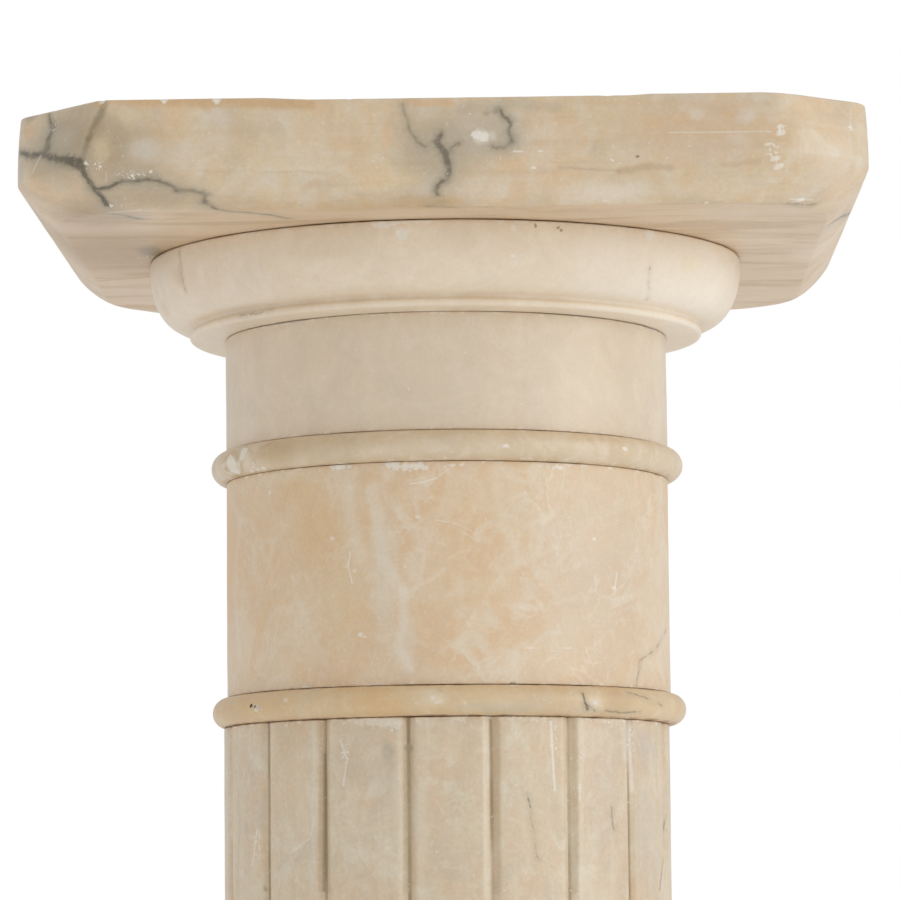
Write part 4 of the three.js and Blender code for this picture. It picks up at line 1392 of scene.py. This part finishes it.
plinth_levels = [plinth_level(0.0, inset) for inset in (60.0, 20.0, 3.0, 0.8)]
plinth_levels += [plinth_level(h, max(0.0, 0.8 - h)) for h in (0.3, 0.8)]
plinth_levels += [plinth_level(h, 0.0) for h in np.arange(2.0, plinth_height - 3.0, 1.8)]
for share in np.linspace(0, 1, 5):
    plinth_levels.append(plinth_level(plinth_height - PLINTH_BEVEL * (1 - share), PLINTH_BEVEL * share))
for inset in (4.0, 6.0, 9.0, 13.0, 18.0, 24.0, 32.0, 42.0, 60.0):
    plinth_levels.append(plinth_level(plinth_height, inset))
plinth = Stone("plinth", np.stack(plinth_levels))
from_plinth_top = plinth_height - plinth.points[:, 2]
around_foot = np.linalg.norm(plinth.points[:, :2], axis=1) - TORUS_CENTRE
plinth.joint = np.where(from_plinth_top < 0.01, np.maximum(around_foot, 0), 40.0)
plinth.ripple(101)
plinth.worn *= np.clip(plinth.points[:, 2] / 2.0, 0, 1)
plinth.bites(np.abs(from_plinth_top - 1.5), 2.6, 0.7, 7.0, 0.2, 102)
finish = Alabaster("plinth_alabaster", abacus_base, ORANGE, (0.79, 0.70, 0.56), 700.0, 0.6, 0.6, 0.4)
finish.veins(34.0, 0.5, GREY, 720.0)
finish.veins(20.0, 0.6, (0.42, 0.34, 0.22), 760.0, 0.012)
finish.joint_dirt(0.8, 0.85)
plinth.make("plinth_stone", finish.close(scratchy=0.16))

# %% [markdown]
# ## Light and floor
# The photograph has a white, shadowless ground and a broad soft light from the right. A white
# sky lights the stones from all round, and one very large area light adds the side light. The
# sky is brighter to the camera than to the stones, which keeps the ground white.

# %% Light the column
SKY_SEEN = 1.0
SKY_LIGHT = 0.67
world = bpy.data.worlds.new("studio")
bpy.context.scene.world = world
world.use_nodes = True
tree = world.node_tree
tree.nodes.clear()
path = tree.nodes.new("ShaderNodeLightPath")
either = tree.nodes.new("ShaderNodeMixShader")
surface = tree.nodes.new("ShaderNodeOutputWorld")
tree.links.new(path.outputs["Is Camera Ray"], either.inputs[0])
tree.links.new(either.outputs[0], surface.inputs["Surface"])
for slot, strength in ((1, SKY_LIGHT), (2, SKY_SEEN)):
    sky = tree.nodes.new("ShaderNodeBackground")
    sky.inputs["Color"].default_value = (1.0, 1.0, 1.0, 1.0)
    sky.inputs["Strength"].default_value = strength
    tree.links.new(sky.outputs[0], either.inputs[slot])

KEY_ANGLE = math.radians(68)
KEY_DISTANCE = 3.2
KEY_SIZE = 2.6
KEY_POWER = 26.0
KEY_HEIGHT = 1.6
KEY_AIM = 0.9
key_light = bpy.data.lights.new("side_light", "AREA")
key_light.shape = "DISK"
key_light.size = KEY_SIZE
key_light.energy = KEY_POWER
key = show(bpy.data.objects.new("side_light", key_light))
key.visible_camera = False
key.location = (
    KEY_DISTANCE * math.sin(KEY_ANGLE),
    -KEY_DISTANCE * math.cos(KEY_ANGLE),
    KEY_HEIGHT,
)
aim = Vector((0.0, 0.0, KEY_AIM)) - key.location
key.rotation_euler = aim.to_track_quat("-Z", "Y").to_euler()
bpy.context.scene.view_settings.view_transform = "Standard"

# %% [markdown]
# ## The floor
# A plain pale disc, wide enough to reach the edge of every view.

# %% Lay the floor
FLOOR_RADIUS = 14.0
FLOOR_SIDES = 96
FLOOR_DROP = 0.0005
FLOOR_COLOUR = (0.93, 0.93, 0.93, 1.0)
# The floor glows a little: a fill light from below, put into the floor, which is no lamp.
FLOOR_GLOW = 0.12
floor_mesh = bpy.data.meshes.new("floor")
ring_angles = [2 * math.pi * i / FLOOR_SIDES for i in range(FLOOR_SIDES)]
rim = [(FLOOR_RADIUS * math.cos(a), FLOOR_RADIUS * math.sin(a), 0.0) for a in ring_angles]
floor_mesh.from_pydata(rim, [], [list(range(FLOOR_SIDES))])
floor = show(bpy.data.objects.new("floor", floor_mesh))
floor.location.z = -FLOOR_DROP
floor_finish = Finish("floor_paper")
floor_finish.shader.inputs["Base Color"].default_value = FLOOR_COLOUR
floor_finish.shader.inputs["Roughness"].default_value = 0.9
floor_finish.shader.inputs["Emission Color"].default_value = (1.0, 1.0, 1.0, 1.0)
floor_finish.shader.inputs["Emission Strength"].default_value = FLOOR_GLOW
floor_mesh.materials.append(floor_finish.material)
